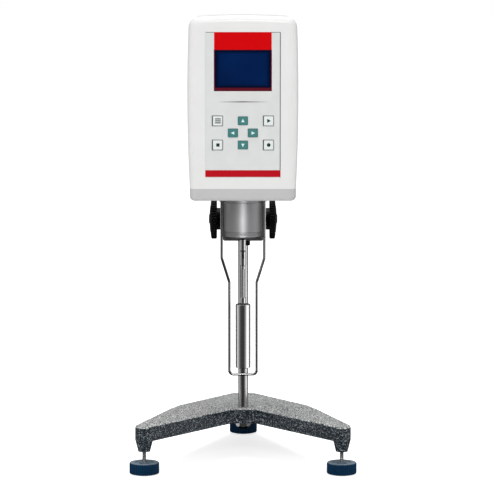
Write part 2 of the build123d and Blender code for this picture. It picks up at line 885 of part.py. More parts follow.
with BuildPart() as front_cover:
    extrude(head_outline(seam_y, 0), amount=seam_y - front_y)
    rim = front_cover.faces().sort_by(Axis.Y)[0].edges()
    fillet(rim.sort_by(Axis.Z)[1:], radius=front_round)
    extrude(cavity(seam_y), amount=seam_y - inner_face_y, mode=Mode.SUBTRACT)
    with BuildSketch(front_plane(inner_face_y)):
        with Locations(*standoffs):
            Circle(standoff_radius)
    extrude(amount=-standoff_length)
    with BuildSketch(front_plane(front_y)):
        with Locations((0, (overlay_bottom + overlay_top) / 2)):
            RectangleRounded(overlay_width, overlay_top - overlay_bottom, overlay_corner)
    extrude(amount=-recess_depth, mode=Mode.SUBTRACT)
    extrude(panel_holes(front_y, key_gap), amount=-panel_wall, mode=Mode.SUBTRACT)
save(front_cover.part, "front_cover")

screw_places = [(x, z) for x in (-cover_screw_x, cover_screw_x) for z in cover_screw_rows]
level_place = (0, post_y + level_y)
level_seat = head_top - seam - level_depth

with BuildPart() as rear_cover:
    extrude(head_outline(seam_y, seam), amount=seam_y - rear_y)
    rim = rear_cover.faces().sort_by(Axis.Y)[-1].edges()
    fillet(rim.sort_by(Axis.Z)[1:], radius=rear_round)
    extrude(cavity(seam_y), amount=seam_y - rear_y + wall, mode=Mode.SUBTRACT)
    with BuildSketch(Plane((*level_place, level_seat - wall))):
        Circle(level_ring_radius + wall / 2)
    extrude(amount=level_depth + wall / 2)
    with BuildSketch(Plane((*level_place, level_seat))):
        Circle(level_ring_radius)
    extrude(amount=2 * level_depth, mode=Mode.SUBTRACT)
    with BuildSketch(front_plane(rear_y)):
        with Locations((inlet_x, inlet_z)):
            Rectangle(inlet_width, inlet_height)
        with Locations((switch_x, inlet_z)):
            Rectangle(switch_width, switch_height)
        with Locations((port_x, inlet_z)):
            Rectangle(port_width, port_height)
        with GridLocations(0, vent_pitch, 1, vent_slots):
            with Locations((0, vent_z)):
                SlotOverall(vent_width, vent_height)
    extrude(amount=wall, mode=Mode.SUBTRACT)
    with BuildSketch(front_plane(rear_y)):
        with Locations(*screw_places):
            Circle(cover_screw_radius)
    extrude(amount=cover_screw_head, mode=Mode.SUBTRACT)
save(rear_cover.part, "rear_cover")

with BuildPart() as cover_screws:
    with BuildSketch(front_plane(rear_y - cover_screw_head)):
        with Locations(*screw_places):
            Circle(cover_screw_radius)
    extrude(amount=cover_screw_sunk - cover_screw_head)
    with BuildSketch(front_plane(rear_y - cover_screw_sunk)):
        with Locations(*screw_places):
            RegularPolygon(cover_screw_radius / 2, hexagon_sides)
    extrude(amount=cover_screw_head / 2, mode=Mode.SUBTRACT)
save(cover_screws.part, "cover_screws")

guard_places = [(side * guard_upper_x, axis_y) for side in (-1, 1)]
bridge_inset = bridge_half - bridge_leg_inset
bridge_legs = [(x, axis_y + y) for x in (-bridge_inset, bridge_inset) for y in (-bridge_inset, bridge_inset)]

with BuildPart() as head_base:
    with BuildSketch(Plane((0, head_middle_y, head_bottom))):
        RectangleRounded(2 * foot_half_width, head_depth, front_round)
    extrude(amount=skirt_top - head_bottom)
    fillet(head_base.faces().sort_by(Axis.Z)[0].edges(), radius=skirt_round)
    with BuildSketch(Plane((0, head_middle_y, floor_z))):
        RectangleRounded(2 * (foot_half_width - wall), head_depth - 2 * wall, front_round - wall)
    extrude(amount=skirt_top - floor_z, mode=Mode.SUBTRACT)
    with Locations((0, axis_y, floor_z)):
        Hole(neck_spigot_radius + seat)
    with Locations(*[(x, y, floor_z) for x, y in bolt_places]):
        Hole(bolt_radius + seat)
    with Locations(*[(x, y, floor_z) for x, y in guard_places]):
        Hole(guard_wire_radius)
    with Locations(*[(x, y, floor_z) for x, y in bridge_legs]):
        Hole(base_screw_radius)
save(head_base.part, "head_base")

with BuildPart() as base_screws:
    for x, y in bridge_legs:
        with BuildSketch(Plane((x, y, head_bottom))):
            Circle(base_screw_radius)
        extrude(amount=skirt_floor)
        with BuildSketch(Plane((x, y, head_bottom))):
            Circle(base_screw_head)
        extrude(amount=-base_screw_radius)
        with BuildSketch(Plane((x, y, head_bottom - base_screw_radius))):
            RegularPolygon(base_screw_radius * socket_share, hexagon_sides)
        extrude(amount=base_screw_radius / 2, mode=Mode.SUBTRACT)
save(base_screws.part, "base_screws")

# ================= front panel =================
with BuildPart() as overlay_panel:
    with BuildSketch(front_plane(front_y + recess_depth)):
        with Locations((0, (overlay_bottom + overlay_top) / 2)):
            RectangleRounded(overlay_width, overlay_top - overlay_bottom, overlay_corner)
    extrude(amount=overlay_thickness)
    extrude(panel_holes(front_y + recess_depth, key_gap), amount=overlay_thickness, mode=Mode.SUBTRACT)
save(overlay_panel.part, "overlay_panel")

with BuildPart() as panel_accents:
    with BuildSketch(front_plane(overlay_face_y)):
        with Locations((0, (lcd_top + key_gap + overlay_top) / 2)):
            Rectangle(window_width, overlay_top - lcd_top - key_gap)
        with Locations((0, stripe_bottom + stripe_height / 2)):
            Rectangle(overlay_width, stripe_height)
        with BuildLine(Location((0, divider_z))):
            Polyline(
                (-divider_width / 2, 0),
                (0, -divider_height / 2),
                (divider_width / 2, 0),
                (0, divider_height / 2),
                close=True,
            )
        make_face()
    extrude(amount=accent_proud)
save(panel_accents.part, "panel_accents")

board_y = inner_face_y + standoff_length
lcd_middle = (lcd_bottom + lcd_top) / 2
with BuildPart() as display_bezel:
    with BuildSketch(front_plane(overlay_face_y)):
        with Locations((0, window_middle)):
            Rectangle(window_width + 2 * key_gap, window_height + 2 * key_gap)
        with Locations((0, lcd_middle)):
            Rectangle(window_width - 2 * bezel_side, lcd_height - bezel_side, mode=Mode.SUBTRACT)
    extrude(amount=-bezel_depth)
save(display_bezel.part, "display_bezel")

with BuildPart() as lcd_glass:
    with BuildSketch(front_plane(overlay_face_y + lcd_sunk)):
        with Locations((0, lcd_middle)):
            Rectangle(window_width - 2 * bezel_side, lcd_height - bezel_side)
    extrude(amount=-(board_y - overlay_face_y - lcd_sunk))
save(lcd_glass.part, "lcd_glass")

with BuildPart() as control_board:
    with BuildSketch(front_plane(board_y)):
        with Locations((0, (standoff_rows[0] + standoff_rows[1]) / 2)):
            RectangleRounded(
                2 * (standoff_x + board_margin),
                standoff_rows[1] - standoff_rows[0] + 2 * board_margin,
                board_corner,
            )
    extrude(amount=-board_thickness)
    with BuildSketch(front_plane(board_y + board_thickness)):
        with Locations((0, lcd_middle)):
            Rectangle(lcd_height, lcd_height)
        with Locations((0, key_row_low)):
            with GridLocations(chip_spacing, 0, 2, 1):
                Rectangle(chip_width, chip_length)
    extrude(amount=-chip_height)
save(control_board.part, "control_board")

key_back_y = board_y - key_board_gap
for name, place in key_places.items():
    with BuildPart() as key:
        with BuildSketch(front_plane(inner_face_y + key_travel)):
            key_outline(name, 0)
        extrude(amount=inner_face_y + key_travel - overlay_face_y + key_proud)
        fillet(key.faces().sort_by(Axis.Y)[0].edges(), radius=key_proud / 2)
        with BuildSketch(front_plane(inner_face_y + seat)):
            key_outline(name, key_flange)
        extrude(amount=-key_flange_thickness)
        with BuildSketch(front_plane(key_back_y)):
            with Locations(place):
                Circle(key_stem_radius)
        extrude(amount=key_back_y - inner_face_y - seat)
    save(key.part, name)

# ================= neck and guard =================
groove_bottom = head_bottom - neck_groove_drop - neck_groove_height / 2
groove_top = groove_bottom + neck_groove_height
neck_spigot_top = head_bottom + neck_spigot_height
with BuildPart() as neck_housing:
    with BuildSketch(front_plane(axis_y)):
        with BuildLine():
            Polyline(
                (neck_bore_radius, neck_bottom),
                (neck_radius - neck_edge, neck_bottom),
                (neck_radius, neck_bottom + neck_edge),
                (neck_radius, groove_bottom),
                (neck_radius - neck_groove_depth, groove_bottom + fine_break),
                (neck_radius - neck_groove_depth, groove_top - fine_break),
                (neck_radius, groove_top),
                (neck_radius, head_bottom),
                (neck_spigot_radius, head_bottom),
                (neck_spigot_radius, neck_spigot_top),
                (neck_bore_radius, neck_spigot_top),
                close=True,
            )
        make_face()
        with Locations(((spindle_radius + running + neck_bore_radius) / 2, (neck_bottom + head_bottom) / 2)):
            Rectangle(neck_bore_radius - spindle_radius - running, neck_web)
    revolve(axis=Axis((0, axis_y, 0), (0, 0, 1)))
save(neck_housing.part, "neck_housing")

with BuildPart() as neck_ring:
    with BuildSketch(Plane((0, axis_y, ring_bottom))):
        Circle(ring_radius)
        Circle(ring_hole_radius, mode=Mode.SUBTRACT)
    extrude(amount=neck_bottom - ring_bottom)
    chamfer(neck_ring.edges().group_by(Axis.Z)[0].sort_by(SortBy.RADIUS)[-1], length=ring_bevel)
save(neck_ring.part, "neck_ring")

bends = (guard_bend_radius, guard_bend_radius)
with BuildPart() as guard:
    with BuildLine(front_plane(axis_y)) as wire:
        FilletPolyline(
            (-guard_upper_x, floor_z),
            (-guard_upper_x, guard_bend_high),
            (-guard_lower_x, guard_bend_low),
            (-guard_lower_x, guard_bar_z),
            (guard_lower_x, guard_bar_z),
            (guard_lower_x, guard_bend_low),
            (guard_upper_x, guard_bend_high),
            (guard_upper_x, floor_z),
            radius=[*bends, guard_corner_radius, guard_corner_radius, *bends],
        )
    with BuildSketch(Plane((-guard_upper_x, axis_y, floor_z), z_dir=(0, 0, -1))):
        Circle(guard_wire_radius)
    sweep(path=wire.line)
save(guard.part, "guard")

with BuildPart() as guard_ferrules:
    for place in guard_places:
        with BuildSketch(Plane((*place, head_bottom))):
            Circle(ferrule_radius)
            Circle(guard_wire_radius, mode=Mode.SUBTRACT)
        extrude(amount=-ferrule_height)
save(guard_ferrules.part, "guard_ferrules")

# ================= drive =================
with BuildPart() as motor_bridge:
    with BuildSketch(Plane((0, axis_y, bridge_bottom))):
        RectangleRounded(2 * bridge_half, 2 * bridge_half, bridge_leg_inset)
        Circle(drive_radius + clear, mode=Mode.SUBTRACT)
    extrude(amount=bridge_thickness)
    for place in bridge_legs:
        with BuildSketch(Plane((*place, floor_z))):
            Circle(bridge_leg_radius)
        extrude(amount=bridge_bottom - floor_z)
save(motor_bridge.part, "motor_bridge")

motor_bottom = bridge_bottom + bridge_thickness
with BuildPart() as drive_motor:
    with BuildSketch(Plane((0, axis_y, motor_bottom))):
        Circle(motor_radius)
    extrude(amount=motor_length)
    chamfer(drive_motor.edges().group_by(Axis.Z)[-1], length=motor_bevel)
    with BuildSketch(Plane((0, axis_y, motor_bottom))):
        Circle(drive_radius + running)
    extrude(amount=motor_length / 2, mode=Mode.SUBTRACT)
save(drive_motor.part, "drive_motor")


def slotted_disc(top):
    """Thin disc with a ring of sensing slots near its rim."""
    with BuildSketch(Plane((0, axis_y, top - disc_thickness))) as outline:
        Circle(drive_disc_radius)
        with PolarLocations(drive_disc_radius * slot_ring_share, disc_slots):
            Rectangle(drive_disc_radius * slot_length_share, disc_thickness, mode=Mode.SUBTRACT)
    return outline.sketch


with BuildPart() as drive_coupling:
    extrude(slotted_disc(drive_disc_top), amount=disc_thickness)
    with BuildSketch(Plane((0, axis_y, drive_disc_top))):
        Circle(hub_share * drive_radius)
    extrude(amount=bridge_bottom - drive_disc_top - soft_break)
    with BuildSketch(Plane((0, axis_y, drive_disc_top))):
        Circle(drive_radius)
    extrude(amount=motor_bottom + motor_length / 2 - soft_break - drive_disc_top)
    with BuildSketch(Plane((0, axis_y, pivot_top - pivot_socket))):
        Circle(hub_share * pivot_radius)
    extrude(amount=drive_disc_top - disc_thickness - pivot_top + pivot_socket)
    with BuildSketch(Plane((0, axis_y, pivot_top - pivot_socket))):
        Circle(pivot_radius + running)
    extrude(amount=pivot_socket + pivot_end_gap, mode=Mode.SUBTRACT)
save(drive_coupling.part, "drive_coupling")

slot_half = link_thickness / 2 + link_gap
with BuildPart() as spindle:
    extrude(slotted_disc(spindle_disc_top), amount=disc_thickness)
    with BuildSketch(Plane((0, axis_y, spindle_disc_top))):
        Circle(pivot_radius)
    extrude(amount=pivot_top - spindle_disc_top)
    with BuildSketch(Plane((0, axis_y, fork_top))):
        Circle(spindle_radius)
    extrude(amount=spindle_disc_top - disc_thickness - fork_top)
    with BuildSketch(Plane((0, axis_y, fork_bottom))):
        Circle(fork_radius)
    extrude(amount=fork_top - fork_bottom)
    chamfer(spindle.edges().group_by(Axis.Z)[2], length=fork_bevel)
    with BuildSketch(Plane((0, axis_y, fork_bottom))):
        Rectangle(2 * fork_radius + overcut, 2 * slot_half)
    extrude(amount=fork_tail + fork_slot_rise, mode=Mode.SUBTRACT)
    with BuildSketch(front_plane(axis_y)):
        with Locations((0, upper_pin_z)):
            Circle(cross_pin_radius)
    extrude(amount=fork_radius, both=True)
save(spindle.part, "spindle")

plate_break = (fork_bottom + socket_top) / 2
with BuildPart() as universal_link:
    with BuildSketch(front_plane(axis_y)):
        with Locations((0, upper_pin_z)):
            Circle(link_radius)
        with Locations((0, (upper_pin_z + plate_break - link_break) / 2)):
            Rectangle(2 * link_radius, upper_pin_z - plate_break + link_break)
        with Locations((0, upper_pin_z)):
            Circle(cross_pin_radius + running, mode=Mode.SUBTRACT)
    extrude(amount=link_thickness / 2, both=True)
    with BuildSketch(Plane((0, axis_y, 0), x_dir=(0, 1, 0), z_dir=(1, 0, 0))):
        with Locations((0, lower_pin_z)):
            Circle(link_radius)
        with Locations((0, (lower_pin_z + plate_break + link_break) / 2)):
            Rectangle(2 * link_radius, plate_break + link_break - lower_pin_z)
    extrude(amount=link_thickness / 2, both=True)
    with BuildSketch(Plane((0, axis_y, 0), x_dir=(0, 1, 0), z_dir=(1, 0, 0))):
        with Locations((0, lower_pin_z)):
            Circle(cross_pin_radius + running)
    extrude(amount=link_thickness, both=True, mode=Mode.SUBTRACT)
save(universal_link.part, "universal_link")

with BuildPart() as rotor_socket:
    with BuildSketch(front_plane(axis_y)):
        with BuildLine():
            Polyline(
                (0, socket_bottom),
                (rotor_shaft_radius + socket_neck_wall, socket_bottom),
                (rotor_shaft_radius + socket_neck_wall, socket_neck - socket_neck_wall),
                (fork_radius, socket_neck),
                (fork_radius, socket_top - fine_break),
                (fork_radius - fine_break, socket_top),
                (0, socket_top),
                close=True,
            )
        make_face()
    revolve(axis=Axis((0, axis_y, 0), (0, 0, 1)))
    with BuildSketch(Plane((0, axis_y, lower_pin_z - socket_slot_drop))):
        Rectangle(2 * slot_half, 2 * fork_radius + overcut)
    extrude(amount=socket_slot_drop + socket_ear, mode=Mode.SUBTRACT)
    with BuildSketch(side_plane(0)):
        with Locations((axis_y, lower_pin_z)):
            Circle(cross_pin_radius)
    extrude(amount=fork_radius, both=True)
    with BuildSketch(Plane((0, axis_y, socket_bottom))):
        Circle(rotor_shaft_radius)
    extrude(amount=rotor_grip, mode=Mode.SUBTRACT)
save(rotor_socket.part, "rotor_socket")

rotor_bottom = rotor_top - rotor_length
collar_top = rotor_top + rotor_collar_height
collar_waist = rotor_collar_radius - rotor_collar_bevel
with BuildPart() as rotor:
    with BuildSketch(front_plane(axis_y)):
        with BuildLine():
            Polyline(
                (0, rotor_bottom),
                (rotor_radius - rotor_edge, rotor_bottom),
                (rotor_radius, rotor_bottom + rotor_edge),
                (rotor_radius, rotor_top - rotor_edge),
                (rotor_radius - rotor_edge, rotor_top),
                (collar_waist, rotor_top),
                (collar_waist, rotor_top + rotor_collar_neck),
                (rotor_collar_radius, rotor_top + rotor_collar_neck + rotor_collar_bevel),
                (rotor_collar_radius, collar_top - rotor_collar_bevel),
                (collar_waist, collar_top),
                (rotor_shaft_radius, collar_top),
                (rotor_shaft_radius, socket_bottom + rotor_grip),
                (0, socket_bottom + rotor_grip),
                close=True,
            )
        make_face()
    revolve(axis=Axis((0, axis_y, 0), (0, 0, 1)))
save(rotor.part, "rotor")

# ================= fittings =================
with BuildPart() as level_ring:
    with BuildSketch(Plane((*level_place, level_seat))):
        Circle(level_ring_radius)
        Circle(level_radius, mode=Mode.SUBTRACT)
    extrude(amount=level_depth - level_sunk)
    chamfer(level_ring.edges().group_by(Axis.Z)[-1].sort_by(SortBy.LENGTH)[-1], length=level_bevel)
save(level_ring.part, "level_ring")

with BuildPart() as level_vial:
    with BuildSketch(Plane((*level_place, level_seat), x_dir=(1, 0, 0), z_dir=(0, -1, 0))):
        with BuildLine():
            dome = level_depth - level_dome_drop
            edge = dome - level_dome
            Polyline((0, dome), (0, 0), (level_radius, 0), (level_radius, edge))
            RadiusArc((level_radius, edge), (0, dome), -dome_radius(level_radius, level_dome))
        make_face()
    revolve(axis=Axis(level_place, (0, 0, 1)))
save(level_vial.part, "level_vial")

with BuildPart() as power_inlet:
    with BuildSketch(front_plane(rear_y)):
        with Locations((inlet_x, inlet_z)):
            RectangleRounded(inlet_width + 2 * flange_margin, inlet_height + flange_margin, flange_margin / 2)
    extrude(amount=-flange_thickness)
    with BuildSketch(front_plane(rear_y)):
        with Locations((inlet_x, inlet_z)):
            Rectangle(inlet_width, inlet_height)
    extrude(amount=inlet_depth)
    with BuildSketch(front_plane(rear_y + flange_thickness)):
        with BuildLine(Location((inlet_x, inlet_z))):
            Polyline(
                (-inlet_mouth_x, -inlet_mouth_z),
                (inlet_mouth_x, -inlet_mouth_z),
                (inlet_mouth_x, inlet_mouth_z - inlet_key),
                (inlet_mouth_x - inlet_key, inlet_mouth_z),
                (-inlet_mouth_x + inlet_key, inlet_mouth_z),
                (-inlet_mouth_x, inlet_mouth_z - inlet_key),
                close=True,
            )
        make_face()
    extrude(amount=inlet_depth, mode=Mode.SUBTRACT)
save(power_inlet.part, "power_inlet")

with BuildPart() as serial_port:
    with BuildSketch(front_plane(rear_y)):
        with Locations((port_x, inlet_z)):
            RectangleRounded(port_flange_width, port_height + flange_margin, port_flange_corner)
    extrude(amount=-port_flange_thickness)
    with BuildSketch(front_plane(rear_y)):
        with BuildLine(Location((port_x, inlet_z))):
            Polyline(
                (-port_width / 2 + port_slant, -port_height / 2),
                (port_width / 2 - port_slant, -port_height / 2),
                (port_width / 2, port_height / 2),
                (-port_width / 2, port_height / 2),
                close=True,
            )
        make_face()
    extrude(amount=port_depth, both=True)
    with BuildSketch(front_plane(rear_y + port_flange_thickness)):
        with Locations((port_x, inlet_z)):
            with GridLocations(port_width + 2 * flange_margin, 0, 2, 1):
                RegularPolygon(port_stud_radius, hexagon_sides)
    extrude(amount=-port_stud_height)
save(serial_port.part, "serial_port")

with BuildPart() as switch_housing:
    with BuildSketch(front_plane(rear_y)):
        with Locations((switch_x, inlet_z)):
            RectangleRounded(switch_width + flange_margin, switch_height + flange_margin, switch_corner)
    extrude(amount=-flange_thickness)
    with BuildSketch(front_plane(rear_y)):
        with Locations((switch_x, inlet_z)):
            Rectangle(switch_width, switch_height)
    extrude(amount=switch_depth)
    with BuildSketch(front_plane(rear_y + flange_thickness)):
        with Locations((switch_x, inlet_z)):
            Rectangle(rocker_width + 2 * clear, rocker_height + 2 * clear)
    extrude(amount=switch_depth, mode=Mode.SUBTRACT)
    with BuildSketch(side_plane(switch_x)):
        with Locations((rear_y, inlet_z)):
            Circle(rocker_pin_radius + running)
    extrude(amount=rocker_width / 2 + rocker_pin_length, both=True, mode=Mode.SUBTRACT)
save(switch_housing.part, "switch_housing")

with BuildPart() as rocker_body:
    with BuildSketch(side_plane(switch_x)):
        with BuildLine(Location((rear_y, inlet_z))):
            half = rocker_height / 2
            Polyline(
                (-rocker_back, -half / 2),
                (rocker_front, -half),
                (rocker_waist, 0),
                (rocker_front, half),
                (-rocker_back, half / 2),
                close=True,
            )
        make_face()
    extrude(amount=rocker_width / 2, both=True)
    with BuildSketch(side_plane(switch_x)):
        with Locations((rear_y, inlet_z)):
            Circle(rocker_pin_radius)
    extrude(amount=rocker_width / 2 + rocker_pin_length, both=True)
switch_rocker = rocker_body.part.rotate(Axis((switch_x, rear_y, inlet_z), (1, 0, 0)), rocker_tilt)
save(switch_rocker, "switch_rocker")

with BuildPart() as power_supply:
    with BuildSketch(Plane((0, supply_y, floor_z))):
        Rectangle(supply_width, supply_depth)
    extrude(amount=board_thickness)
    with BuildSketch(Plane((0, supply_y, floor_z + board_thickness))):
        with Locations((supply_core_x, 0)):
            Rectangle(supply_core, supply_depth - 2 * supply_edge)
        with Locations((supply_can_x, 0)):
            Circle(supply_depth / 2 - supply_edge)
    extrude(amount=supply_height)
save(power_supply.part, "power_supply")
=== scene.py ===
"""Rotational viscometer: finishes, fine detail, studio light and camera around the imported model.

Lengths are metres in the model's own frame: Z up, the keypad faces -Y.
"""
import bmesh
import bpy
import json
import math
import numpy as np
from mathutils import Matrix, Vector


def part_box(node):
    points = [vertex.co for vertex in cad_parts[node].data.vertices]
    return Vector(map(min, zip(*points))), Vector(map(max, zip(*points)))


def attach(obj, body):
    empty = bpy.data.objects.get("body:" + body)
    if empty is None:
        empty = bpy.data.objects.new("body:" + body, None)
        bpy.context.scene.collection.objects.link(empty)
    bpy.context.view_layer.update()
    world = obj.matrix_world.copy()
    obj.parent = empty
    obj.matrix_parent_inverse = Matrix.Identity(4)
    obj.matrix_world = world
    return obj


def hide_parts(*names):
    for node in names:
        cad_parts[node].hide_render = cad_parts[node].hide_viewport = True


MM = 0.001
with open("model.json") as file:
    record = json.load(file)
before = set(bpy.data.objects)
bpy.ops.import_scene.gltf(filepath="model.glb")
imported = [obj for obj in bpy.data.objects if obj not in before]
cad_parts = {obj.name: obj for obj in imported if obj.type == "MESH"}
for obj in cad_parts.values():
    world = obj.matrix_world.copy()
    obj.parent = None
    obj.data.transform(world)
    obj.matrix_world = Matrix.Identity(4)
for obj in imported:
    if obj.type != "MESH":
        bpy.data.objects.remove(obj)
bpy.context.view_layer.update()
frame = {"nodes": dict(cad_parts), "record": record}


# ---------------------------------------------------------------- finishes
def start_finish(name, roughness, metallic=0.0, coat=0.0, coat_roughness=0.2, gloss=0.5):
    """Makes a material with its shader's constants set, and returns it with its tree, shader and place."""
    finish = bpy.data.materials.new(name)
    finish.use_nodes = True
    tree = finish.node_tree
    shader = tree.nodes["Principled BSDF"]
    shader.inputs["Roughness"].default_value = roughness
    shader.inputs["Metallic"].default_value = metallic
    shader.inputs["Coat Weight"].default_value = coat
    shader.inputs["Coat Roughness"].default_value = coat_roughness
    shader.inputs["Specular IOR Level"].default_value = gloss
    place = tree.nodes.new("ShaderNodeTexCoord").outputs["Object"]
    return finish, tree, shader, place


def grain(tree, place, scale, detail=2.0, stretch=(1, 1, 1)):
    """Noise in the object's own space, drawn out along an axis where stretch is small."""
    mapping = tree.nodes.new("ShaderNodeMapping")
    mapping.inputs["Scale"].default_value = stretch
    tree.links.new(place, mapping.inputs["Vector"])
    noise = tree.nodes.new("ShaderNodeTexNoise")
    noise.inputs["Scale"].default_value = scale
    noise.inputs["Detail"].default_value = detail
    tree.links.new(mapping.outputs["Vector"], noise.inputs["Vector"])
    return noise.outputs["Fac"]


def cells(tree, place, scale):
    """Distance to the nearest of scattered points: the blobs of a hammered finish."""
    blobs = tree.nodes.new("ShaderNodeTexVoronoi")
    blobs.inputs["Scale"].default_value = scale
    tree.links.new(place, blobs.inputs["Vector"])
    return blobs.outputs["Distance"]


def shades(tree, factor, stops, sharp=False):
    """Colour ramp over a factor: stops are (position, (r, g, b))."""
    ramp = tree.nodes.new("ShaderNodeValToRGB")
    ramp.color_ramp.interpolation = "CONSTANT" if sharp else "LINEAR"
    while len(ramp.color_ramp.elements) < len(stops):
        ramp.color_ramp.elements.new(0.5)
    for element, (position, colour) in zip(ramp.color_ramp.elements, stops):
        element.position = position
        element.color = (*colour, 1)
    tree.links.new(factor, ramp.inputs["Fac"])
    return ramp.outputs["Color"]


def levels(tree, factor, low, high, to_low, to_high):
    """Carries a factor from one span of values to another, held at its ends."""
    span = tree.nodes.new("ShaderNodeMapRange")
    for socket, value in (("From Min", low), ("From Max", high), ("To Min", to_low), ("To Max", to_high)):
        span.inputs[socket].default_value = value
    tree.links.new(factor, span.inputs["Value"])
    return span.outputs["Result"]


def blend(tree, factor, first, second):
    """Mixes two colours by a factor."""
    mix = tree.nodes.new("ShaderNodeMix")
    mix.data_type = "RGBA"
    tree.links.new(factor, mix.inputs["Factor"])
    for socket, colour in ((mix.inputs[6], first), (mix.inputs[7], second)):
        if isinstance(colour, tuple):
            socket.default_value = (*colour, 1)
        else:
            tree.links.new(colour, socket)
    return mix.outputs[2]


def multiplied(tree, first, second):
    """Product of two colours."""
    mix = tree.nodes.new("ShaderNodeMix")
    mix.data_type = "RGBA"
    mix.blend_type = "MULTIPLY"
    mix.inputs["Factor"].default_value = 1.0
    tree.links.new(first, mix.inputs[6])
    tree.links.new(second, mix.inputs[7])
    return mix.outputs[2]


def split_up(tree, vector):
    """Separates a vector into its X, Y and Z."""
    split = tree.nodes.new("ShaderNodeSeparateXYZ")
    tree.links.new(vector, split.inputs[0])
    return split.outputs


def relief(tree, shader, height, strength, depth):
    """Bump that lifts the shading by a height map, over the given depth in metres."""
    bump = tree.nodes.new("ShaderNodeBump")
    bump.inputs["Strength"].default_value = strength
    bump.inputs["Distance"].default_value = depth
    tree.links.new(height, bump.inputs["Height"])
    tree.links.new(bump.outputs["Normal"], shader.inputs["Normal"])


def upward(tree):
    """How far a surface faces up: 1 on a level top, 0 on a wall."""
    facing = split_up(tree, tree.nodes.new("ShaderNodeTexCoord").outputs["Normal"])
    return levels(tree, facing["Z"], low=0.2, high=0.8, to_low=0.0, to_high=1.0)


DRIFT_SCALE = 35            # noise periods per metre
SKIN_SCALE = 2600
SKIN_DEPTH = 0.05 * MM
TOOL_MARK_SCALE = 90
TOOL_MARK_DEPTH = 0.02 * MM
FLECK_SCALE = 820
SETTLE_SCALE = 160
HAMMER_SCALE = 420
HAMMER_DEPTH = 0.25 * MM
# Painted shade: a dark specular tint darkens metals at their edges, where they are seen edge on.
METAL_EDGE_SHADE_TINT = 0.12      # metals darken where they are seen edge on
METAL_DIM = 0.86            # darkest tool marks, as a share of the metal's colour
FILM_DIM = 0.97


def moulded(name, colour, roughness, mottle=0.03, coat=0.0, texture=0.0, gloss=0.5, top=None):
    """Moulded plastic: its colour drifts a little, its skin is textured, and its top may carry a paler painted
    reflection.
    """
    finish, tree, shader, place = start_finish(name, roughness, coat=coat, gloss=gloss)
    dim = tuple(c * (1 - mottle) for c in colour)
    tint = shades(tree, grain(tree, place, DRIFT_SCALE, detail=3), [(0.35, dim), (0.65, colour)])
    # Painted reflection: faces that look up blend to the paler top colour.
    if top:
        tint = blend(tree, upward(tree), tint, top)
    tree.links.new(tint, shader.inputs["Base Color"])
    if texture:
        relief(tree, shader, grain(tree, place, SKIN_SCALE), texture, SKIN_DEPTH)
    return finish


def turned_metal(name, colour, roughness, streak=(1, 1, 60), marking=0.12):
    """Turned or drawn metal: fine tool marks run square to the stretched axis."""
    finish, tree, shader, place = start_finish(name, roughness, metallic=1.0)
    marks = grain(tree, place, TOOL_MARK_SCALE, detail=3, stretch=streak)
    dim = tuple(c * METAL_DIM for c in colour)
    tree.links.new(shades(tree, marks, [(0.3, dim), (0.7, colour)]), shader.inputs["Base Color"])
    dullness = levels(tree, marks, low=0.3, high=0.7, to_low=roughness * 0.8, to_high=roughness * 1.25)
    tree.links.new(dullness, shader.inputs["Roughness"])
    relief(tree, shader, marks, marking, TOOL_MARK_DEPTH)
    # Painted shade at the metal's edges.
    shader.inputs["Specular Tint"].default_value = (METAL_EDGE_SHADE_TINT, METAL_EDGE_SHADE_TINT, METAL_EDGE_SHADE_TINT, 1)
    return finish


def hammered_enamel():
    """Hammered grey and black enamel: pale flecks in a dark ground; level tops take a far paler copy of it as
    painted light from above, and its tone drifts a little at random.
    """
    finish, tree, shader, place = start_finish("hammered_enamel", roughness=0.45, coat=0.12, gloss=0.3)
    fleck = grain(tree, place, FLECK_SCALE, detail=3)
    drift = grain(tree, place, SETTLE_SCALE)
    # Painted light: the walls take the darker copy of the flecks as painted shade, and level tops the paler
    # one.
    wall = shades(tree, fleck, [(0.41, (0.003, 0.005, 0.008)), (0.56, (0.036, 0.050, 0.064)),
                                (0.68, (0.38, 0.43, 0.46))])
    top = shades(tree, fleck, [(0.40, (0.022, 0.024, 0.027)), (0.50, (0.38, 0.39, 0.39)),
                               (0.58, (0.95, 0.96, 0.96))])
    paint = blend(tree, upward(tree), wall, top)
    shade = shades(tree, drift, [(0.3, (0.8, 0.8, 0.8)), (0.7, (1.0, 1.0, 1.0))])
    tree.links.new(multiplied(tree, paint, shade), shader.inputs["Base Color"])
    relief(tree, shader, cells(tree, place, HAMMER_SCALE), strength=0.55, depth=HAMMER_DEPTH)
    return finish


def print_and_shadow_film(name, colour):
    """Polyester film with a faint velvet grain, for print and for the painted shadow line."""
    finish, tree, shader, place = start_finish(name, roughness=0.35, gloss=0.12)
    dim = tuple(c * FILM_DIM for c in colour)
    tint = shades(tree, grain(tree, place, scale=60), [(0.4, dim), (0.6, colour)])
    tree.links.new(tint, shader.inputs["Base Color"])
    velvet = grain(tree, place, scale=5000, detail=1)
    relief(tree, shader, velvet, strength=0.15, depth=0.02 * MM)
    return finish


def accent_film():
    """Red accents of the panel, told apart by height: bright heading, dark divider, deeper lower stripe."""
    finish, tree, shader, place = start_finish("accent_film", roughness=0.3, gloss=0.01)
    height = levels(tree, split_up(tree, place)["Z"], low=0.0, high=0.5, to_low=0.0, to_high=1.0)
    bands = [(0.0, (0.47, 0.008, 0.016)), (0.66, (0.035, 0.008, 0.010)), (0.80, (0.62, 0.003, 0.005))]
    tree.links.new(shades(tree, height, bands, sharp=True), shader.inputs["Base Color"])
    velvet = grain(tree, place, scale=3000, detail=1)
    relief(tree, shader, velvet, strength=0.1, depth=0.01 * MM)
    return finish


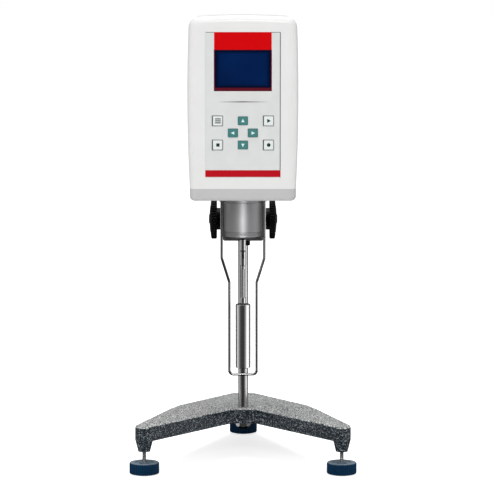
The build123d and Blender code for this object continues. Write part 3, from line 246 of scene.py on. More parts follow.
def display_face(low, high):
    """Dark blue display with painted shade that darkens it towards its rim, given by the window's low and high
    corners.
    """
    finish, tree, shader, place = start_finish("display_face", roughness=0.12, gloss=0.06)
    blues = [(0.3, (0.0012, 0.011, 0.060)), (0.7, (0.0016, 0.015, 0.080))]
    tint = shades(tree, grain(tree, place, scale=28, detail=1), blues)
    centred = tree.nodes.new("ShaderNodeMapping")
    centred.vector_type = "TEXTURE"
    centred.inputs["Location"].default_value = [(a + b) / 2 for a, b in zip(low, high)]
    centred.inputs["Scale"].default_value = [(b - a) / 2 for a, b in zip(low, high)]
    tree.links.new(place, centred.inputs["Vector"])
    share = split_up(tree, centred.outputs["Vector"])
    outward = tree.nodes.new("ShaderNodeMath")
    outward.operation = "MAXIMUM"
    for side, axis in enumerate("XZ"):
        size = tree.nodes.new("ShaderNodeMath")
        size.operation = "ABSOLUTE"
        tree.links.new(share[axis], size.inputs[0])
        tree.links.new(size.outputs[0], outward.inputs[side])
    # Painted shade: the display darkens near the rim of its window.
    rim = levels(tree, outward.outputs[0], low=0.80, high=0.99, to_low=0, to_high=0.85)
    tree.links.new(blend(tree, rim, tint, (0.001, 0.001, 0.006)), shader.inputs["Base Color"])
    return finish


def spirit_level_glass():
    """Yellow-green spirit under a clear dome."""
    finish, tree, shader, place = start_finish("spirit_glass", roughness=0.05, coat=1.0, coat_roughness=0.02)
    greens = [(0.3, (0.42, 0.55, 0.06)), (0.7, (0.5, 0.62, 0.09))]
    tint = shades(tree, grain(tree, place, scale=120, detail=1), greens)
    tree.links.new(tint, shader.inputs["Base Color"])
    return finish


def lacquered_board():
    """Green circuit board with a fine web of tracks."""
    finish, tree, shader, place = start_finish("lacquered_board", roughness=0.3, coat=0.4)
    greens = [(0.1, (0.01, 0.13, 0.05)), (0.5, (0.01, 0.2, 0.07))]
    tint = shades(tree, cells(tree, place, scale=500), greens)
    tree.links.new(tint, shader.inputs["Base Color"])
    return finish


enamel = hammered_enamel()
head_white = moulded("head_white", (0.80, 0.805, 0.795), 0.34, mottle=0.02, coat=0.15, texture=0.12)
skirt_grey = moulded("skirt_grey", (0.545, 0.545, 0.545), 0.4, texture=0.15)
overlay_film = print_and_shadow_film("overlay_film", (0.70, 0.715, 0.705))
accents = accent_film()
display = display_face(*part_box("lcd_glass"))
maroon_frame = moulded("maroon_frame", (0.10, 0.006, 0.016), 0.35, gloss=0.05)
black_plastic = moulded("black_plastic", (0.004, 0.005, 0.006), 0.42, mottle=0.2, texture=0.2, gloss=0.14)
# The knobs' paler top colour is a painted reflection of light glancing off their tops.
foot_blue = moulded("foot_blue", (0.001, 0.030, 0.080), 0.36, mottle=0.2, texture=0.1, gloss=0.16,
                    top=(0.24, 0.30, 0.36))
rubber = moulded("pad_rubber", (0.015, 0.015, 0.015), 0.8, mottle=0.3)
brushed = turned_metal("brushed_steel", (0.66, 0.66, 0.66), 0.24)
polished = turned_metal("polished_steel", (0.86, 0.85, 0.85), 0.14, streak=(1, 1, 8), marking=0.03)
satin = turned_metal("satin_steel", (0.58, 0.58, 0.59), 0.5, marking=0.06)
drawn = turned_metal("drawn_steel", (0.60, 0.59, 0.59), 0.18, streak=(60, 60, 1), marking=0.05)
dark_steel = turned_metal("dark_steel", (0.16, 0.16, 0.17), 0.3)
wire_metal = turned_metal("wire_steel", (0.55, 0.55, 0.55), 0.16, streak=(1, 1, 6), marking=0.03)
brass = turned_metal("turned_brass", (0.72, 0.50, 0.20), 0.3)
alloy = turned_metal("sawn_alloy", (0.62, 0.62, 0.63), 0.4, streak=(30, 1, 1))
dark_enamel = moulded("carriage_enamel", (0.060, 0.062, 0.066), 0.4, mottle=0.25, coat=0.2, texture=0.3)
key_white = print_and_shadow_film("key_white", (0.76, 0.80, 0.79))
key_green = print_and_shadow_film("key_green", (0.064, 0.215, 0.205))
key_ink = print_and_shadow_film("key_ink", (0.02, 0.04, 0.035))
arrow_ink = print_and_shadow_film("arrow_ink", (0.66, 0.86, 0.86))
# Dark film for the painted shadow of the overlay's recess wall.
painted_shadow_film = print_and_shadow_film("painted_shadow_film", (0.07, 0.075, 0.085))
bubble_film = moulded("bubble_film", (0.80, 0.88, 0.62), 0.08, mottle=0.05)
spirit = spirit_level_glass()
board = lacquered_board()

record = frame["record"]
body_of = {node: body for body, nodes in record["behaviour"]["bodies"].items() for node in nodes}


# ---------------------------------------------------------------- making pieces
JOIN_DISTANCE = 0.002 * MM


def new_piece(name, mesh, finish, node, stands_for_node, crease=35):
    """Puts a mesh in the scene with its finish; it rides with a node's body, and may stand for that node."""
    mesh.materials.clear()
    mesh.materials.append(finish)
    mesh.shade_smooth()
    mesh.set_sharp_from_angle(angle=math.radians(crease))
    piece = bpy.data.objects.new(name, mesh)
    bpy.context.scene.collection.objects.link(piece)
    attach(piece, body_of[node])
    if stands_for_node:
        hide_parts(node)


def surface(name, points, close_rows=False, close_columns=True, start_pole=None, end_pole=None):
    """Mesh of a grid of points P(row, column); a pole closes an open end with a fan of triangles."""
    rows, columns = points.shape[:2]
    corners = points.reshape(-1, 3)
    row = np.arange(rows if close_rows else rows - 1)[:, None]
    column = np.arange(columns if close_columns else columns - 1)[None, :]
    here, right = row * columns + column, row * columns + (column + 1) % columns
    above, above_right = here + columns, right + columns
    count = rows * columns
    quads = np.stack(np.broadcast_arrays(here, right, above_right % count, above % count), -1)
    faces = quads.reshape(-1, 4).tolist()
    ring = np.arange(columns)
    following = (ring + 1) % columns
    for pole, first, turn in ((start_pole, 0, (0, 2, 1)), (end_pole, (rows - 1) * columns, (0, 1, 2))):
        if pole is not None:
            corners = np.vstack([corners, pole])
            fan = np.stack([np.full(columns, len(corners) - 1), ring + first, following + first], -1)
            faces += fan[:, turn].tolist()
    mesh = bpy.data.meshes.new(name)
    mesh.from_pydata(corners.tolist(), [], faces)
    mesh.validate()
    return mesh


def turned(name, centre, profile, across=96, hollow=False, ribs=0, rib_depth=0.0, ribbed=None, lying=0):
    """Turned piece: P(s, a) = centre + (r cos a, r sin a, z), with (r, z) = profile(s), bottom to top.

    A rib takes rib_depth * w(s) * |sin(ribs a / 2)| from r, where w is 1 on the ribbed rows of the profile.
    A lying piece has its axis along X, pointing to +X or -X as lying says.
    """
    profile = np.array(profile, float)
    angle = np.linspace(0, 2 * math.pi, across, endpoint=False)[None, :]
    radius = np.repeat(profile[:, :1], across, axis=1)
    if ribs:
        share = np.array([1.0 if row in ribbed else 0.0 for row in range(len(profile))])[:, None]
        radius = radius - rib_depth * share * np.abs(np.sin(ribs * angle / 2))
    height = np.repeat(profile[:, 1:], across, axis=1)
    side, depth = radius * np.cos(angle), radius * np.sin(angle)
    if lying:
        points = np.stack([lying * height, lying * side, depth], -1) + np.array(centre)
        poles = [np.array(centre) + (lying * height[row, 0], 0, 0) for row in (0, -1)]
    else:
        points = np.stack([side, depth, height], -1) + np.array(centre)
        poles = [np.array(centre) + (0, 0, height[row, 0]) for row in (0, -1)]
    if hollow:
        return surface(name, points, close_rows=True)
    return surface(name, points, start_pole=poles[0], end_pole=poles[1])


def rounded(corner, radius, start, end, steps=5):
    """Round in a profile: corner + radius * (cos a, sin a), with a from start to end in degrees."""
    angle = np.radians(np.linspace(start, end, steps))
    return [(corner[0] + radius * math.cos(a), corner[1] + radius * math.sin(a)) for a in angle]


def bent_wire(name, route, radius, bend, around=24, steps=7):
    """Round wire in the XZ plane: P(s, a) = C(s) + radius (cos a N(s) + sin a Y), where C(s) is the route
    with its corners rounded by arcs of radius bend, and N is square to its direction."""
    route = np.array(route, float)
    ways = np.diff(route, axis=0)
    ways /= np.linalg.norm(ways, axis=1)[:, None]
    line = [route[0]]
    for corner, before, after, r in zip(route[1:-1], ways[:-1], ways[1:], bend):
        half_turn = math.acos(np.clip(before @ after, -1, 1)) / 2
        middle = after - before
        middle /= np.linalg.norm(middle)
        centre = corner + middle * r / math.cos(half_turn)
        swing = np.linspace(-half_turn, half_turn, steps)[:, None]
        along = (before + after) / np.linalg.norm(before + after)
        line += list(centre - middle * r * np.cos(swing) + along * r * np.sin(swing))
    line = np.array(line + [route[-1]])
    way = np.gradient(line, axis=0)
    way /= np.linalg.norm(way, axis=1)[:, None]
    normal = np.stack([-way[:, 2], way[:, 1], way[:, 0]], -1)
    angle = np.linspace(0, 2 * math.pi, around, endpoint=False)[None, :, None]
    points = line[:, None] + radius * (np.cos(angle) * normal[:, None] + np.sin(angle) * np.array([0, 1, 0]))
    return surface(name, points, start_pole=line[0], end_pole=line[-1])


def smoothed(node, finish, crease=35):
    """Copy of a CAD node with its loose triangles joined, so that its curved faces shade smoothly."""
    mesh = frame["nodes"][node].data.copy()
    work = bmesh.new()
    work.from_mesh(mesh)
    bmesh.ops.remove_doubles(work, verts=work.verts, dist=JOIN_DISTANCE)
    work.to_mesh(mesh)
    work.free()
    if "custom_normal" in mesh.attributes:
        mesh.attributes.remove(mesh.attributes["custom_normal"])
    new_piece(node + "_finished", mesh, finish, node, True, crease)


def middle_of(node):
    """Centre, lowest and highest point of a node's box."""
    low, high = (np.array(corner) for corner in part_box(node))
    return (low + high) / 2, low, high


# ---------------------------------------------------------------- levelling feet
POINTS_PER_RIB = 8
RIB_CREASE = 28             # degrees; edges sharper than this stay crisp
ROUND_CREASE = 60
FOOT_RIBS = 44
RIB_DEPTH = 0.8 * MM
KNOB_ROUND = 1.1 * MM
PAD_POCKET = 11.8 * MM
PAD_POCKET_DEPTH = 1.8 * MM
DISH_RADIUS = 9.4 * MM
DISH_DEPTH = 1.2 * MM
DISH_HUB = 4.4 * MM
THREAD_PITCH = 0.7 * MM
THREAD_DEPTH = 0.4 * MM


def foot_knob(name):
    """Ribbed knob: a rim with rounded edges, a dished top round a small hub, and a pocket for the pad."""
    middle, low, high = middle_of(name)
    rim = (high[0] - low[0]) / 2
    top, foot = high[2], low[2]
    shape = [(PAD_POCKET, foot + PAD_POCKET_DEPTH), (PAD_POCKET, foot)]
    lower = rounded((rim - KNOB_ROUND, foot + KNOB_ROUND), KNOB_ROUND, -90, 0)
    upper = rounded((rim - KNOB_ROUND, top - KNOB_ROUND), KNOB_ROUND, 0, 90)
    shape += lower + upper
    shape += rounded((DISH_RADIUS + DISH_DEPTH / 2, top - DISH_DEPTH / 2), DISH_DEPTH / 2, 90, 180)
    shape += [(DISH_RADIUS - DISH_DEPTH / 2, top - DISH_DEPTH)]
    shape += [(DISH_HUB + DISH_DEPTH / 2, top - DISH_DEPTH), (DISH_HUB, top)]
    ribbed = range(2 + len(lower) // 2, 2 + len(lower) + len(upper) // 2 + 1)
    mesh = turned(name, (middle[0], middle[1], 0), shape, POINTS_PER_RIB * FOOT_RIBS, ribs=FOOT_RIBS,
                  rib_depth=RIB_DEPTH, ribbed=ribbed)
    new_piece(name + "_ribbed", mesh, foot_blue, name, True, RIB_CREASE)


def threaded_rod(name, around=36, turn_steps=8):
    """Screw: r(a, z) = R - depth * (1 - |2 f - 1|), with f the part of a turn in z / pitch - a / 2 pi."""
    middle, low, high = middle_of(name)
    outer = (high[0] - low[0]) / 2
    turns = (high[2] - low[2]) / THREAD_PITCH
    height = np.linspace(low[2], high[2], int(turns * turn_steps))[:, None]
    angle = np.linspace(0, 2 * math.pi, around, endpoint=False)[None, :]
    part = np.mod(height / THREAD_PITCH - angle / (2 * math.pi), 1)
    radius = outer - THREAD_DEPTH * (1 - np.abs(2 * part - 1))
    height = np.broadcast_to(height, radius.shape)
    points = np.stack([middle[0] + radius * np.cos(angle), middle[1] + radius * np.sin(angle), height], -1)
    foot, head = (middle[0], middle[1], low[2]), (middle[0], middle[1], high[2])
    mesh = surface(name, points, start_pole=foot, end_pole=head)
    new_piece(name + "_threaded", mesh, brushed, name, True, ROUND_CREASE)


for foot in ("front_left", "front_right", "rear"):
    foot_knob("foot_knob_" + foot)
    threaded_rod("foot_screw_" + foot)
    smoothed("foot_pad_" + foot, rubber)

# ---------------------------------------------------------------- base, post and carriage
smoothed("base_casting", enamel, crease=30)
smoothed("post", drawn, crease=30)
smoothed("rack", brushed)
smoothed("post_cap", black_plastic)
smoothed("post_nut", polished, crease=20)
smoothed("carriage_block", dark_enamel, crease=30)
smoothed("carriage_liners", brass)
smoothed("pinion_bushes", brass)
smoothed("drag_screw", black_plastic)
smoothed("arm_bolts", polished)
smoothed("pinion_shaft", brushed)
smoothed("knob_caps", black_plastic)

KNOB_RIBS = 48
KNOB_RIB_DEPTH = 0.9 * MM
KNOB_HUB = 11.2 * MM
KNOB_HUB_LENGTH = 3.6 * MM
KNOB_EDGE = 1.2 * MM
KNOB_DOME = 1.8 * MM
KNOB_WELL = 4.5 * MM
KNOB_WELL_DEPTH = 1.6 * MM
KNOB_FACE_ROWS = 14
KNOB_FACE_START = 0.97      # the outermost row, as a share of the face's radius
KNOB_FACE_GROOVES = (8.0 * MM, 15.0 * MM)
KNOB_GROOVE_HALF = 0.6 * MM
KNOB_GROOVE_DEPTH = 0.3 * MM


def lift_knob(name, outward):
    """Ribbed handwheel on a hub, turned about X: a domed face with two fine grooves and a well for its cap."""
    middle, low, high = middle_of(name)
    rim = (high[2] - low[2]) / 2
    inner, outer = sorted((abs(low[0]), abs(high[0])))
    back, front = inner + KNOB_HUB_LENGTH, outer - KNOB_DOME
    shape = [(KNOB_HUB, inner), (KNOB_HUB, back)]
    first = rounded((rim - KNOB_EDGE, back + KNOB_EDGE), KNOB_EDGE, -90, 0, steps=4)
    last = rounded((rim - KNOB_EDGE, front - KNOB_EDGE), KNOB_EDGE, 0, 90, steps=4)
    shape += first + last
    reach = rim - KNOB_EDGE
    for radius in np.linspace(reach * KNOB_FACE_START, KNOB_WELL, KNOB_FACE_ROWS):
        near = min(abs(radius - groove) for groove in KNOB_FACE_GROOVES)
        sunk = KNOB_GROOVE_DEPTH if near < KNOB_GROOVE_HALF else 0.0
        shape.append((radius, front + KNOB_DOME * (1 - (radius / reach) ** 2) - sunk))
    shape.append((KNOB_WELL, outer - KNOB_WELL_DEPTH))
    ribbed = range(2 + len(first) // 2, 2 + len(first) + len(last) // 2)
    mesh = turned(name, (0, middle[1], middle[2]), shape, POINTS_PER_RIB * KNOB_RIBS, ribs=KNOB_RIBS,
                  rib_depth=KNOB_RIB_DEPTH, ribbed=ribbed, lying=outward)
    new_piece(name + "_ribbed", mesh, black_plastic, name, True, RIB_CREASE)


lift_knob("lift_knob_left", -1)
lift_knob("lift_knob_right", 1)

# ---------------------------------------------------------------- head
for cover in ("front_cover", "rear_cover"):
    smoothed(cover, head_white, crease=25)
smoothed("head_base", skirt_grey, crease=25)
smoothed("overlay_panel", overlay_film)
smoothed("panel_accents", accents)
smoothed("display_bezel", maroon_frame)
smoothed("lcd_glass", display)
for hidden, finish in (("control_board", board), ("power_supply", board), ("drive_motor", alloy),
                       ("motor_bridge", alloy), ("drive_coupling", alloy)):
    smoothed(hidden, finish)
for fitting in ("power_inlet", "switch_housing", "switch_rocker"):
    smoothed(fitting, black_plastic)
smoothed("serial_port", polished)
smoothed("cover_screws", polished)
smoothed("base_screws", polished)
smoothed("level_ring", black_plastic)
smoothed("level_vial", spirit)

# ---------------------------------------------------------------- neck, guard and rotor
NECK_AROUND = 128
NECK_ROWS = 12
NECK_BORE = 11.0 * MM
NECK_EDGE = 0.5 * MM
GROOVE_DROP = 5.7 * MM
GROOVE_HEIGHT = 1.4 * MM
GROOVE_DEPTH = 0.6 * MM
SPIGOT_RADIUS = 15.0 * MM
SPIGOT_HEIGHT = 7.0 * MM
RING_HOLE = 5.0 * MM
RING_BEVEL = 1.6 * MM
RING_LINES = (2.0, 2.8)     # heights of the turned lines, in bevels
LINE_DEPTH = 0.25 * MM
LINE_HALF = 0.2 * MM


def neck():
    """Neck tube with a groove below the head and a spigot that reaches up into it."""
    middle, low, high = middle_of("neck_housing")
    outer = (high[0] - low[0]) / 2
    seat = high[2] - SPIGOT_HEIGHT
    groove = seat - GROOVE_DROP
    shape = [(NECK_BORE, low[2]), (outer - NECK_EDGE, low[2]), (outer, low[2] + NECK_EDGE)]
    shape += [(outer, z) for z in np.linspace(low[2] + 2 * NECK_EDGE, groove - NECK_EDGE, NECK_ROWS)]
    shape += [(outer, groove), (outer - GROOVE_DEPTH, groove + GROOVE_DEPTH / 2)]
    shape += [(outer - GROOVE_DEPTH, groove + GROOVE_HEIGHT - GROOVE_DEPTH / 2)]
    shape += [(outer, groove + GROOVE_HEIGHT)]
    shape += [(outer, seat), (SPIGOT_RADIUS, seat), (SPIGOT_RADIUS, high[2]), (NECK_BORE, high[2])]
    mesh = turned("neck", (middle[0], middle[1], 0), shape, NECK_AROUND, hollow=True)
    new_piece("neck_turned", mesh, satin, "neck_housing", True)


def neck_foot():
    """Ring below the neck, bevelled at its foot, with the spindle's hole and two fine turned lines."""
    middle, low, high = middle_of("neck_ring")
    outer = (high[0] - low[0]) / 2
    shape = [(RING_HOLE, low[2]), (outer - RING_BEVEL, low[2]), (outer, low[2] + RING_BEVEL)]
    for bevels in RING_LINES:
        line = low[2] + bevels * RING_BEVEL
        shape += [(outer, line), (outer - LINE_DEPTH, line + LINE_HALF), (outer, line + 2 * LINE_HALF)]
    shape += [(outer, high[2]), (RING_HOLE, high[2])]
    mesh = turned("ring", (middle[0], middle[1], 0), shape, NECK_AROUND, hollow=True)
    new_piece("neck_ring_turned", mesh, satin, "neck_ring", True)


neck()
neck_foot()

ROTOR_ROWS = 20
ROTOR_LENGTH = 64.4 * MM
ROTOR_EDGE = 0.5 * MM
COLLAR_RADIUS = 3.0 * MM
COLLAR_WAIST = 2.4 * MM
COLLAR_HEIGHT = 7.0 * MM
COLLAR_BEVEL = 0.6 * MM
SHAFT_RADIUS = 1.6 * MM


def hanging_rotor():
    """Polished rotor: a plain cylinder with crisp edges under a collar and a thin shaft."""
    middle, low, high = middle_of("rotor")
    outer = (high[0] - low[0]) / 2
    top = low[2] + ROTOR_LENGTH
    collar = top + COLLAR_HEIGHT
    shape = [(outer - ROTOR_EDGE, low[2]), (outer, low[2] + ROTOR_EDGE)]
    shape += [(outer, z) for z in np.linspace(low[2] + 2 * ROTOR_EDGE, top - 2 * ROTOR_EDGE, ROTOR_ROWS)]
    shape += [(outer, top - ROTOR_EDGE), (outer - ROTOR_EDGE, top), (COLLAR_WAIST, top)]
    shape += [(COLLAR_WAIST, top + COLLAR_BEVEL), (COLLAR_RADIUS, top + 2 * COLLAR_BEVEL)]
    shape += [(COLLAR_RADIUS, collar - COLLAR_BEVEL), (COLLAR_WAIST, collar), (SHAFT_RADIUS, collar)]
    shape += [(SHAFT_RADIUS, high[2])]
    mesh = turned("rotor", (middle[0], middle[1], 0), shape)
    new_piece("rotor_polished", mesh, polished, "rotor", True)


hanging_rotor()
smoothed("rotor_socket", polished)
smoothed("spindle", polished)
smoothed("universal_link", dark_steel)
smoothed("guard_ferrules", polished)

GUARD_LOWER_X = 13.75 * MM
GUARD_BEND_HIGH = 214.0 * MM
GUARD_BEND_LOW = 190.0 * MM
GUARD_BENDS = np.array([5, 5, 4, 4, 5, 5]) * MM


def guard_wire():
    """Bright wire guard: two legs that draw in below the neck and meet in a level bar under the rotor."""
    middle, low, high = middle_of("guard")
    radius = (high[1] - low[1]) / 2
    upper_x = high[0] - radius
    half = [(-upper_x, high[2]), (-upper_x, GUARD_BEND_HIGH), (-GUARD_LOWER_X, GUARD_BEND_LOW),
            (-GUARD_LOWER_X, low[2] + radius)]
    route = [(x, middle[1], z) for x, z in half] + [(-x, middle[1], z) for x, z in reversed(half)]
    mesh = bent_wire("guard", route, radius, GUARD_BENDS)
    new_piece("guard_bent", mesh, wire_metal, "guard", True, ROUND_CREASE)


guard_wire()

# ---------------------------------------------------------------- rear sockets and level
INLET_FLOOR = 2.0 * MM
BLADE_SUNK = 5.0 * MM
BLADE_HALF_WIDTH = 1.0 * MM
BLADE_HALF_HEIGHT = 2.0 * MM
BLADE_TIP = 0.6             # width of the tapered tip, as a share of the blade's
BLADE_PLACES = ((-7.0 * MM, -2.0 * MM), (0.0, 2.0 * MM), (7.0 * MM, -2.0 * MM))
CONTACT_RADIUS = 0.55 * MM
CONTACT_BULGE = 0.15 * MM
CONTACT_PITCH = 2.74 * MM
CONTACT_ROW = 1.42 * MM
CONTACT_AROUND = 16
CONTACT_TIP = 0.5
BUBBLE_RADIUS = 2.1 * MM
BUBBLE_HEIGHT = 0.5 * MM
BUBBLE_ROWS = 8
BUBBLE_AROUND = 40


def standing_out(name, x, z, section, depths):
    """Pin that points to the rear: P(s, k) = (x, y(s), z) + w(s) * corner k of its section; it is closed at
    both ends."""
    rings = [[(x + share * side, y, z + share * up) for side, up in section] for y, share in depths]
    poles = [np.array((x, depths[row][0], z)) for row in (0, -1)]
    return surface(name, np.array(rings), start_pole=poles[0], end_pole=poles[1])


def inlet_blades():
    """Three flat blades that stand in the mains inlet, each with a tapered tip."""
    middle, low, high = middle_of("power_inlet")
    root, tip = low[1] + INLET_FLOOR, high[1] - BLADE_SUNK
    section = [(BLADE_HALF_WIDTH, -BLADE_HALF_HEIGHT), (-BLADE_HALF_WIDTH, -BLADE_HALF_HEIGHT),
               (-BLADE_HALF_WIDTH, BLADE_HALF_HEIGHT), (BLADE_HALF_WIDTH, BLADE_HALF_HEIGHT)]
    depths = [(root, 1.0), (tip - BLADE_HALF_WIDTH, 1.0), (tip, BLADE_TIP)]
    for number, (aside, up) in enumerate(BLADE_PLACES):
        mesh = standing_out("blade", middle[0] + aside, middle[2] + up, section, depths)
        new_piece(f"inlet_blade_{number + 1}", mesh, polished, "power_inlet", False)


def serial_contacts():
    """Two staggered rows of round contacts on the face of the serial socket, five above four."""
    middle, _, high = middle_of("serial_port")
    turns = np.linspace(0, -2 * math.pi, CONTACT_AROUND, endpoint=False)
    section = [(CONTACT_RADIUS * math.cos(a), CONTACT_RADIUS * math.sin(a)) for a in turns]
    depths = [(high[1] - CONTACT_BULGE, 1.0), (high[1], 1.0), (high[1] + CONTACT_BULGE / 3, CONTACT_TIP)]
    for row, count, up in (("upper", 5, CONTACT_ROW), ("lower", 4, -CONTACT_ROW)):
        for number in range(count):
            aside = (number - (count - 1) / 2) * CONTACT_PITCH
            mesh = standing_out("contact", middle[0] + aside, middle[2] + up, section, depths)
            new_piece(f"serial_contact_{row}_{number + 1}", mesh, black_plastic, "serial_port", False)


def level_bubble():
    """Bubble under the level's glass: a low dome, r = R cos t and z = h sin t."""
    middle, _, high = middle_of("level_vial")
    arc = np.linspace(0, math.pi / 2, BUBBLE_ROWS)[:-1]
    shape = [(BUBBLE_RADIUS * math.cos(t), BUBBLE_HEIGHT * math.sin(t)) for t in arc]
    place = (middle[0], middle[1], high[2] - BUBBLE_HEIGHT)
    mesh = turned("bubble", place, shape, BUBBLE_AROUND)
    new_piece("level_bubble", mesh, bubble_film, "level_vial", False)


inlet_blades()
serial_contacts()
level_bubble()

# ---------------------------------------------------------------- keys
KEY_LINE = 0.42 * MM
INK_AND_SHADOW_PROUD = 0.04 * MM
KEY_FLANGES = 1.6 * MM      # the flanges behind the overlay, left and right together
ARROW = 2.1 * MM
ARROW_CORNERS = np.array([0, 128, 232])     # degrees from the tip
SIGN_ASIDE = 0.5 * MM       # signs sit right of the middle, clear of the frame's thick side
LIST_LINE = (5.6 * MM, 1.0 * MM)
LIST_PITCH = 1.9 * MM
PLAY_BACK, PLAY_TIP, PLAY_HALF = 1.2 * MM, 2.4 * MM, 2.0 * MM
STOP_SIDE = 3.2 * MM
DOT_ASIDE, DOT_RADIUS = 0.3 * MM, 1.8 * MM
SHADOW_LINE = 0.75 * MM     # its width down the side; along the top it is two thirds of that


def flat_strokes(name, outlines, front, finish, node):
    """Flat marks on a face, the keys' print and the overlay's painted shadow line: each outline is a loop of
    (x, z) points filled as one flat face.
    """
    corners, faces = [], []
    for outline in outlines:
        faces.append(list(range(len(corners), len(corners) + len(outline))))
        corners += [(x, front - INK_AND_SHADOW_PROUD, z) for x, z in outline]
    mesh = bpy.data.meshes.new(name)
    mesh.from_pydata(corners, [], faces)
    new_piece(name, mesh, finish, node, False)


def bar(x, z, width, height):
    """Upright rectangle round a middle, anticlockwise seen from the front."""
    half, rise = width / 2, height / 2
    return [(x - half, z - rise), (x + half, z - rise), (x + half, z + rise), (x - half, z + rise)]


def key_frame(x, z, width, height, line):
    """Four bars that frame a key's face."""
    return [bar(x - (width - line) / 2, z, line, height), bar(x + (width - line) / 2, z, line, height),
            bar(x, z - (height - line) / 2, width - 2 * line, line),
            bar(x, z + (height - line) / 2, width - 2 * line, line)]


def disc(x, z, radius, count=24):
    """Loop of points round a middle."""
    angle = np.linspace(0, 2 * math.pi, count, endpoint=False)
    return [(x + radius * math.cos(a), z + radius * math.sin(a)) for a in angle]


def framed_key(node, marks):
    """White key with a thin dark frame, thicker on its left, and a plain sign in its middle."""
    middle, low, high = middle_of(node)
    x, z = middle[0], middle[2]
    width, height = high[0] - low[0] - KEY_FLANGES, high[2] - low[2] - KEY_FLANGES
    smoothed(node, key_white)
    outlines = key_frame(x, z, width - KEY_LINE, height - KEY_LINE, KEY_LINE)
    outlines += [bar(x - width / 2 + 1.5 * KEY_LINE, z, 2 * KEY_LINE, height - 2 * KEY_LINE)]
    outlines += [[(x + dx, z + dz) for dx, dz in mark] for mark in marks]
    flat_strokes(node + "_print", outlines, low[1], key_ink, node)


def arrow_key(node, turn):
    """Green key with a pale triangle that points up, turned by a number of quarter turns."""
    middle, low, _ = middle_of(node)
    smoothed(node, key_green)
    way = np.radians(90 * (turn + 1) + ARROW_CORNERS)
    point = [(middle[0] + ARROW * math.cos(a), middle[2] + ARROW * math.sin(a)) for a in way]
    flat_strokes(node + "_print", [point], low[1], arrow_ink, node)


framed_key("key_upper_left", [bar(SIGN_ASIDE, row * LIST_PITCH, *LIST_LINE) for row in (-1, 0, 1)])
framed_key("key_upper_right", [[(-PLAY_BACK, -PLAY_HALF), (PLAY_TIP, 0), (-PLAY_BACK, PLAY_HALF)]])
framed_key("key_lower_left", [bar(SIGN_ASIDE, 0, STOP_SIDE, STOP_SIDE)])
framed_key("key_lower_right", [disc(DOT_ASIDE, 0, DOT_RADIUS)])
for quarter, name in enumerate(("key_up", "key_left", "key_down", "key_right")):
    arrow_key(name, quarter)


def overlay_shadow_line():
    """Painted shadow of the recess wall: a dark line along the top and the right edge of the overlay."""
    middle, low, high = middle_of("overlay_panel")
    upright = bar(high[0] - SHADOW_LINE / 2, middle[2], SHADOW_LINE, high[2] - low[2])
    length = high[0] - low[0] - 2 * SHADOW_LINE
    level = bar(middle[0], high[2] - SHADOW_LINE / 3, length, SHADOW_LINE * 2 / 3)
    flat_strokes("overlay_shadow_line", [upright, level], low[1], painted_shadow_film, "overlay_panel")


overlay_shadow_line()


# ---------------------------------------------------------------- studio
post_low, post_high = (np.array(corner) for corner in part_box("post"))
post_y = (post_low[1] + post_high[1]) / 2

CAMERA_BACK = 2.426         # camera to the post's axis
CAMERA_HEIGHT = 0.482
CAMERA_SIDE = 0.004
CAMERA_DOWN = math.radians(6.2)
FOCAL_PIXELS = 2378
FRAME_PIXELS = 494
SENSOR_MM = 36.0

lens = bpy.data.cameras.new("studio_camera")
lens.sensor_width = SENSOR_MM
lens.lens = SENSOR_MM * FOCAL_PIXELS / FRAME_PIXELS
camera = bpy.data.objects.new("studio_camera", lens)
camera.location = (CAMERA_SIDE, post_y - CAMERA_BACK, CAMERA_HEIGHT)
camera.rotation_euler = (math.pi / 2 - CAMERA_DOWN, 0, 0)
bpy.context.scene.collection.objects.link(camera)
bpy.context.scene.camera = camera


def lamp(name, place, aim, size, power):
    """Square soft box that looks at a point."""
    light = bpy.data.lights.new(name, "AREA")
    light.shape = "SQUARE"
    light.size = size
    light.energy = power
    box = bpy.data.objects.new(name, light)
    box.location = place
    way = np.array(aim) - np.array(place)
    flat = math.hypot(way[0], way[1])
    box.rotation_euler = (math.atan2(flat, -way[2]), 0, math.atan2(-way[0], way[1]))
    bpy.context.scene.collection.objects.link(box)
    return box


lamp("front_box", (0.12, -2.5, 1.35), (0, 0, 0.3), size=0.7, power=17)
lamp("fill_box", (-1.6, -1.6, 0.9), (0, 0, 0.3), size=1.2, power=4)
lamp("top_box", (0.0, 0.1, 2.2), (0, 0, 0), size=1.2, power=28)
# A low card that only the neck mirrors.
shine = lamp("shine_card", (-0.02, -2.1, 0.2), (0, 0, 0.2), size=0.5, power=10)
neck_only = bpy.data.collections.new("lit_by_shine_card")
for piece_name in ("neck_turned", "neck_ring_turned"):
    neck_only.objects.link(bpy.data.objects[piece_name])
shine.light_linking.receiver_collection = neck_only
shine.visible_diffuse = False

DAYLIGHT = 0.62             # even light on matt surfaces
BOX_LIGHT = 1.5             # brightness of the soft boxes that metal mirrors
OVERHEAD = (0.45, 0.45, 0.45)    # what metal mirrors from straight above
FRONT = (1.0, 1.0, 1.0)          # daylight from the front and from behind
REAR = (0.45, 0.45, 0.45)
world = bpy.data.worlds.new("studio")
world.use_nodes = True
bpy.context.scene.world = world
sky = world.node_tree
sky.nodes.clear()
rays = sky.nodes.new("ShaderNodeLightPath")
soft = sky.nodes.new("ShaderNodeBackground")
strength = levels(sky, rays.outputs["Is Glossy Ray"], low=0, high=1, to_low=DAYLIGHT, to_high=BOX_LIGHT)
sky.links.new(strength, soft.inputs["Strength"])
white = sky.nodes.new("ShaderNodeBackground")
white.inputs["Strength"].default_value = 1.0
white.inputs["Color"].default_value = (1, 1, 1, 1)
seen = sky.nodes.new("ShaderNodeMixShader")
out = sky.nodes.new("ShaderNodeOutputWorld")
sky.links.new(rays.outputs["Is Camera Ray"], seen.inputs["Fac"])
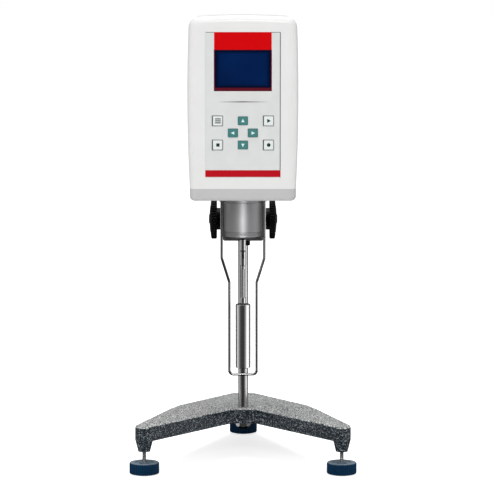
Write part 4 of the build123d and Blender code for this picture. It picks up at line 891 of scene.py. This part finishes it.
sky.links.new(soft.outputs[0], seen.inputs[1])
sky.links.new(white.outputs[0], seen.inputs[2])
sky.links.new(seen.outputs[0], out.inputs["Surface"])
way = split_up(sky, sky.nodes.new("ShaderNodeTexCoord").outputs["Generated"])
bearing = sky.nodes.new("ShaderNodeMath")       # angle from -Y: 90 degrees at +X, -90 at -X, 180 at the rear
bearing.operation = "ARCTAN2"
forward = sky.nodes.new("ShaderNodeMath")
forward.operation = "MULTIPLY"
forward.inputs[1].default_value = -1.0
sky.links.new(way["Y"], forward.inputs[0])
sky.links.new(way["X"], bearing.inputs[0])
sky.links.new(forward.outputs[0], bearing.inputs[1])
# Brightness round about, as (bearing in degrees, share), and by height, as (share of the way up, share).
SOFT_BOXES = [(-180, 0.14), (-152, 0.14), (-136, 0.02), (-112, 0.55), (-80, 0.42), (-50, 0.08), (-20, 0.03),
              (16, 0.03), (44, 0.3), (62, 1.0), (96, 0.95), (120, 0.06), (150, 0.14), (180, 0.14)]
BANDS = [(0.0, 0.0), (0.34, 0.0), (0.39, 1.0), (0.445, 1.0), (0.47, 0.25), (0.54, 0.2), (0.60, 0.06),
         (1.0, 0.06)]
stops = [((degrees + 180) / 360, (shade,) * 3) for degrees, shade in SOFT_BOXES]
round_about = levels(sky, bearing.outputs[0], low=-math.pi, high=math.pi, to_low=0, to_high=1)
boxes = shades(sky, round_about, stops)
rise = levels(sky, way["Z"], low=-1, high=1, to_low=0, to_high=1)
band = shades(sky, rise, [(share, (shade,) * 3) for share, shade in BANDS])
mirrored = multiplied(sky, boxes, band)
above = blend(sky, levels(sky, way["Z"], low=0.2, high=0.9, to_low=0, to_high=1), mirrored, OVERHEAD)
rearward = levels(sky, way["Y"], low=-1, high=1, to_low=0, to_high=1)
front_light = shades(sky, rearward, [(0.2, FRONT), (0.9, REAR)])
toned = blend(sky, rays.outputs["Is Glossy Ray"], front_light, above)
sky.links.new(toned, soft.inputs["Color"])


FLOOR_GLOW = 0.7
FLOOR_HALF = 40.0           # the floor reaches past what the camera sees


def floor_paint():
    """Pale floor that keeps the shadow, with a little glow for the camera so that it reads as white."""
    finish, tree, shader, place = start_finish("floor_paint", roughness=0.9)
    tint = shades(tree, grain(tree, place, scale=3), [(0.3, (0.88, 0.88, 0.88)), (0.7, (0.9, 0.9, 0.9))])
    tree.links.new(tint, shader.inputs["Base Color"])
    path = tree.nodes.new("ShaderNodeLightPath")
    glow = levels(tree, path.outputs["Is Camera Ray"], low=0, high=1, to_low=0, to_high=FLOOR_GLOW)
    shader.inputs["Emission Color"].default_value = (1, 1, 1, 1)
    tree.links.new(glow, shader.inputs["Emission Strength"])
    return finish


floor_mesh = bpy.data.meshes.new("floor")
floor_corners = [(-FLOOR_HALF, -FLOOR_HALF, 0), (FLOOR_HALF, -FLOOR_HALF, 0), (FLOOR_HALF, FLOOR_HALF, 0),
                 (-FLOOR_HALF, FLOOR_HALF, 0)]
floor_mesh.from_pydata(floor_corners, [], [(0, 1, 2, 3)])
floor = bpy.data.objects.new("floor", floor_mesh)
floor_mesh.materials.append(floor_paint())
bpy.context.scene.collection.objects.link(floor)
floor.visible_glossy = False

bpy.context.scene.view_settings.view_transform = "Standard"
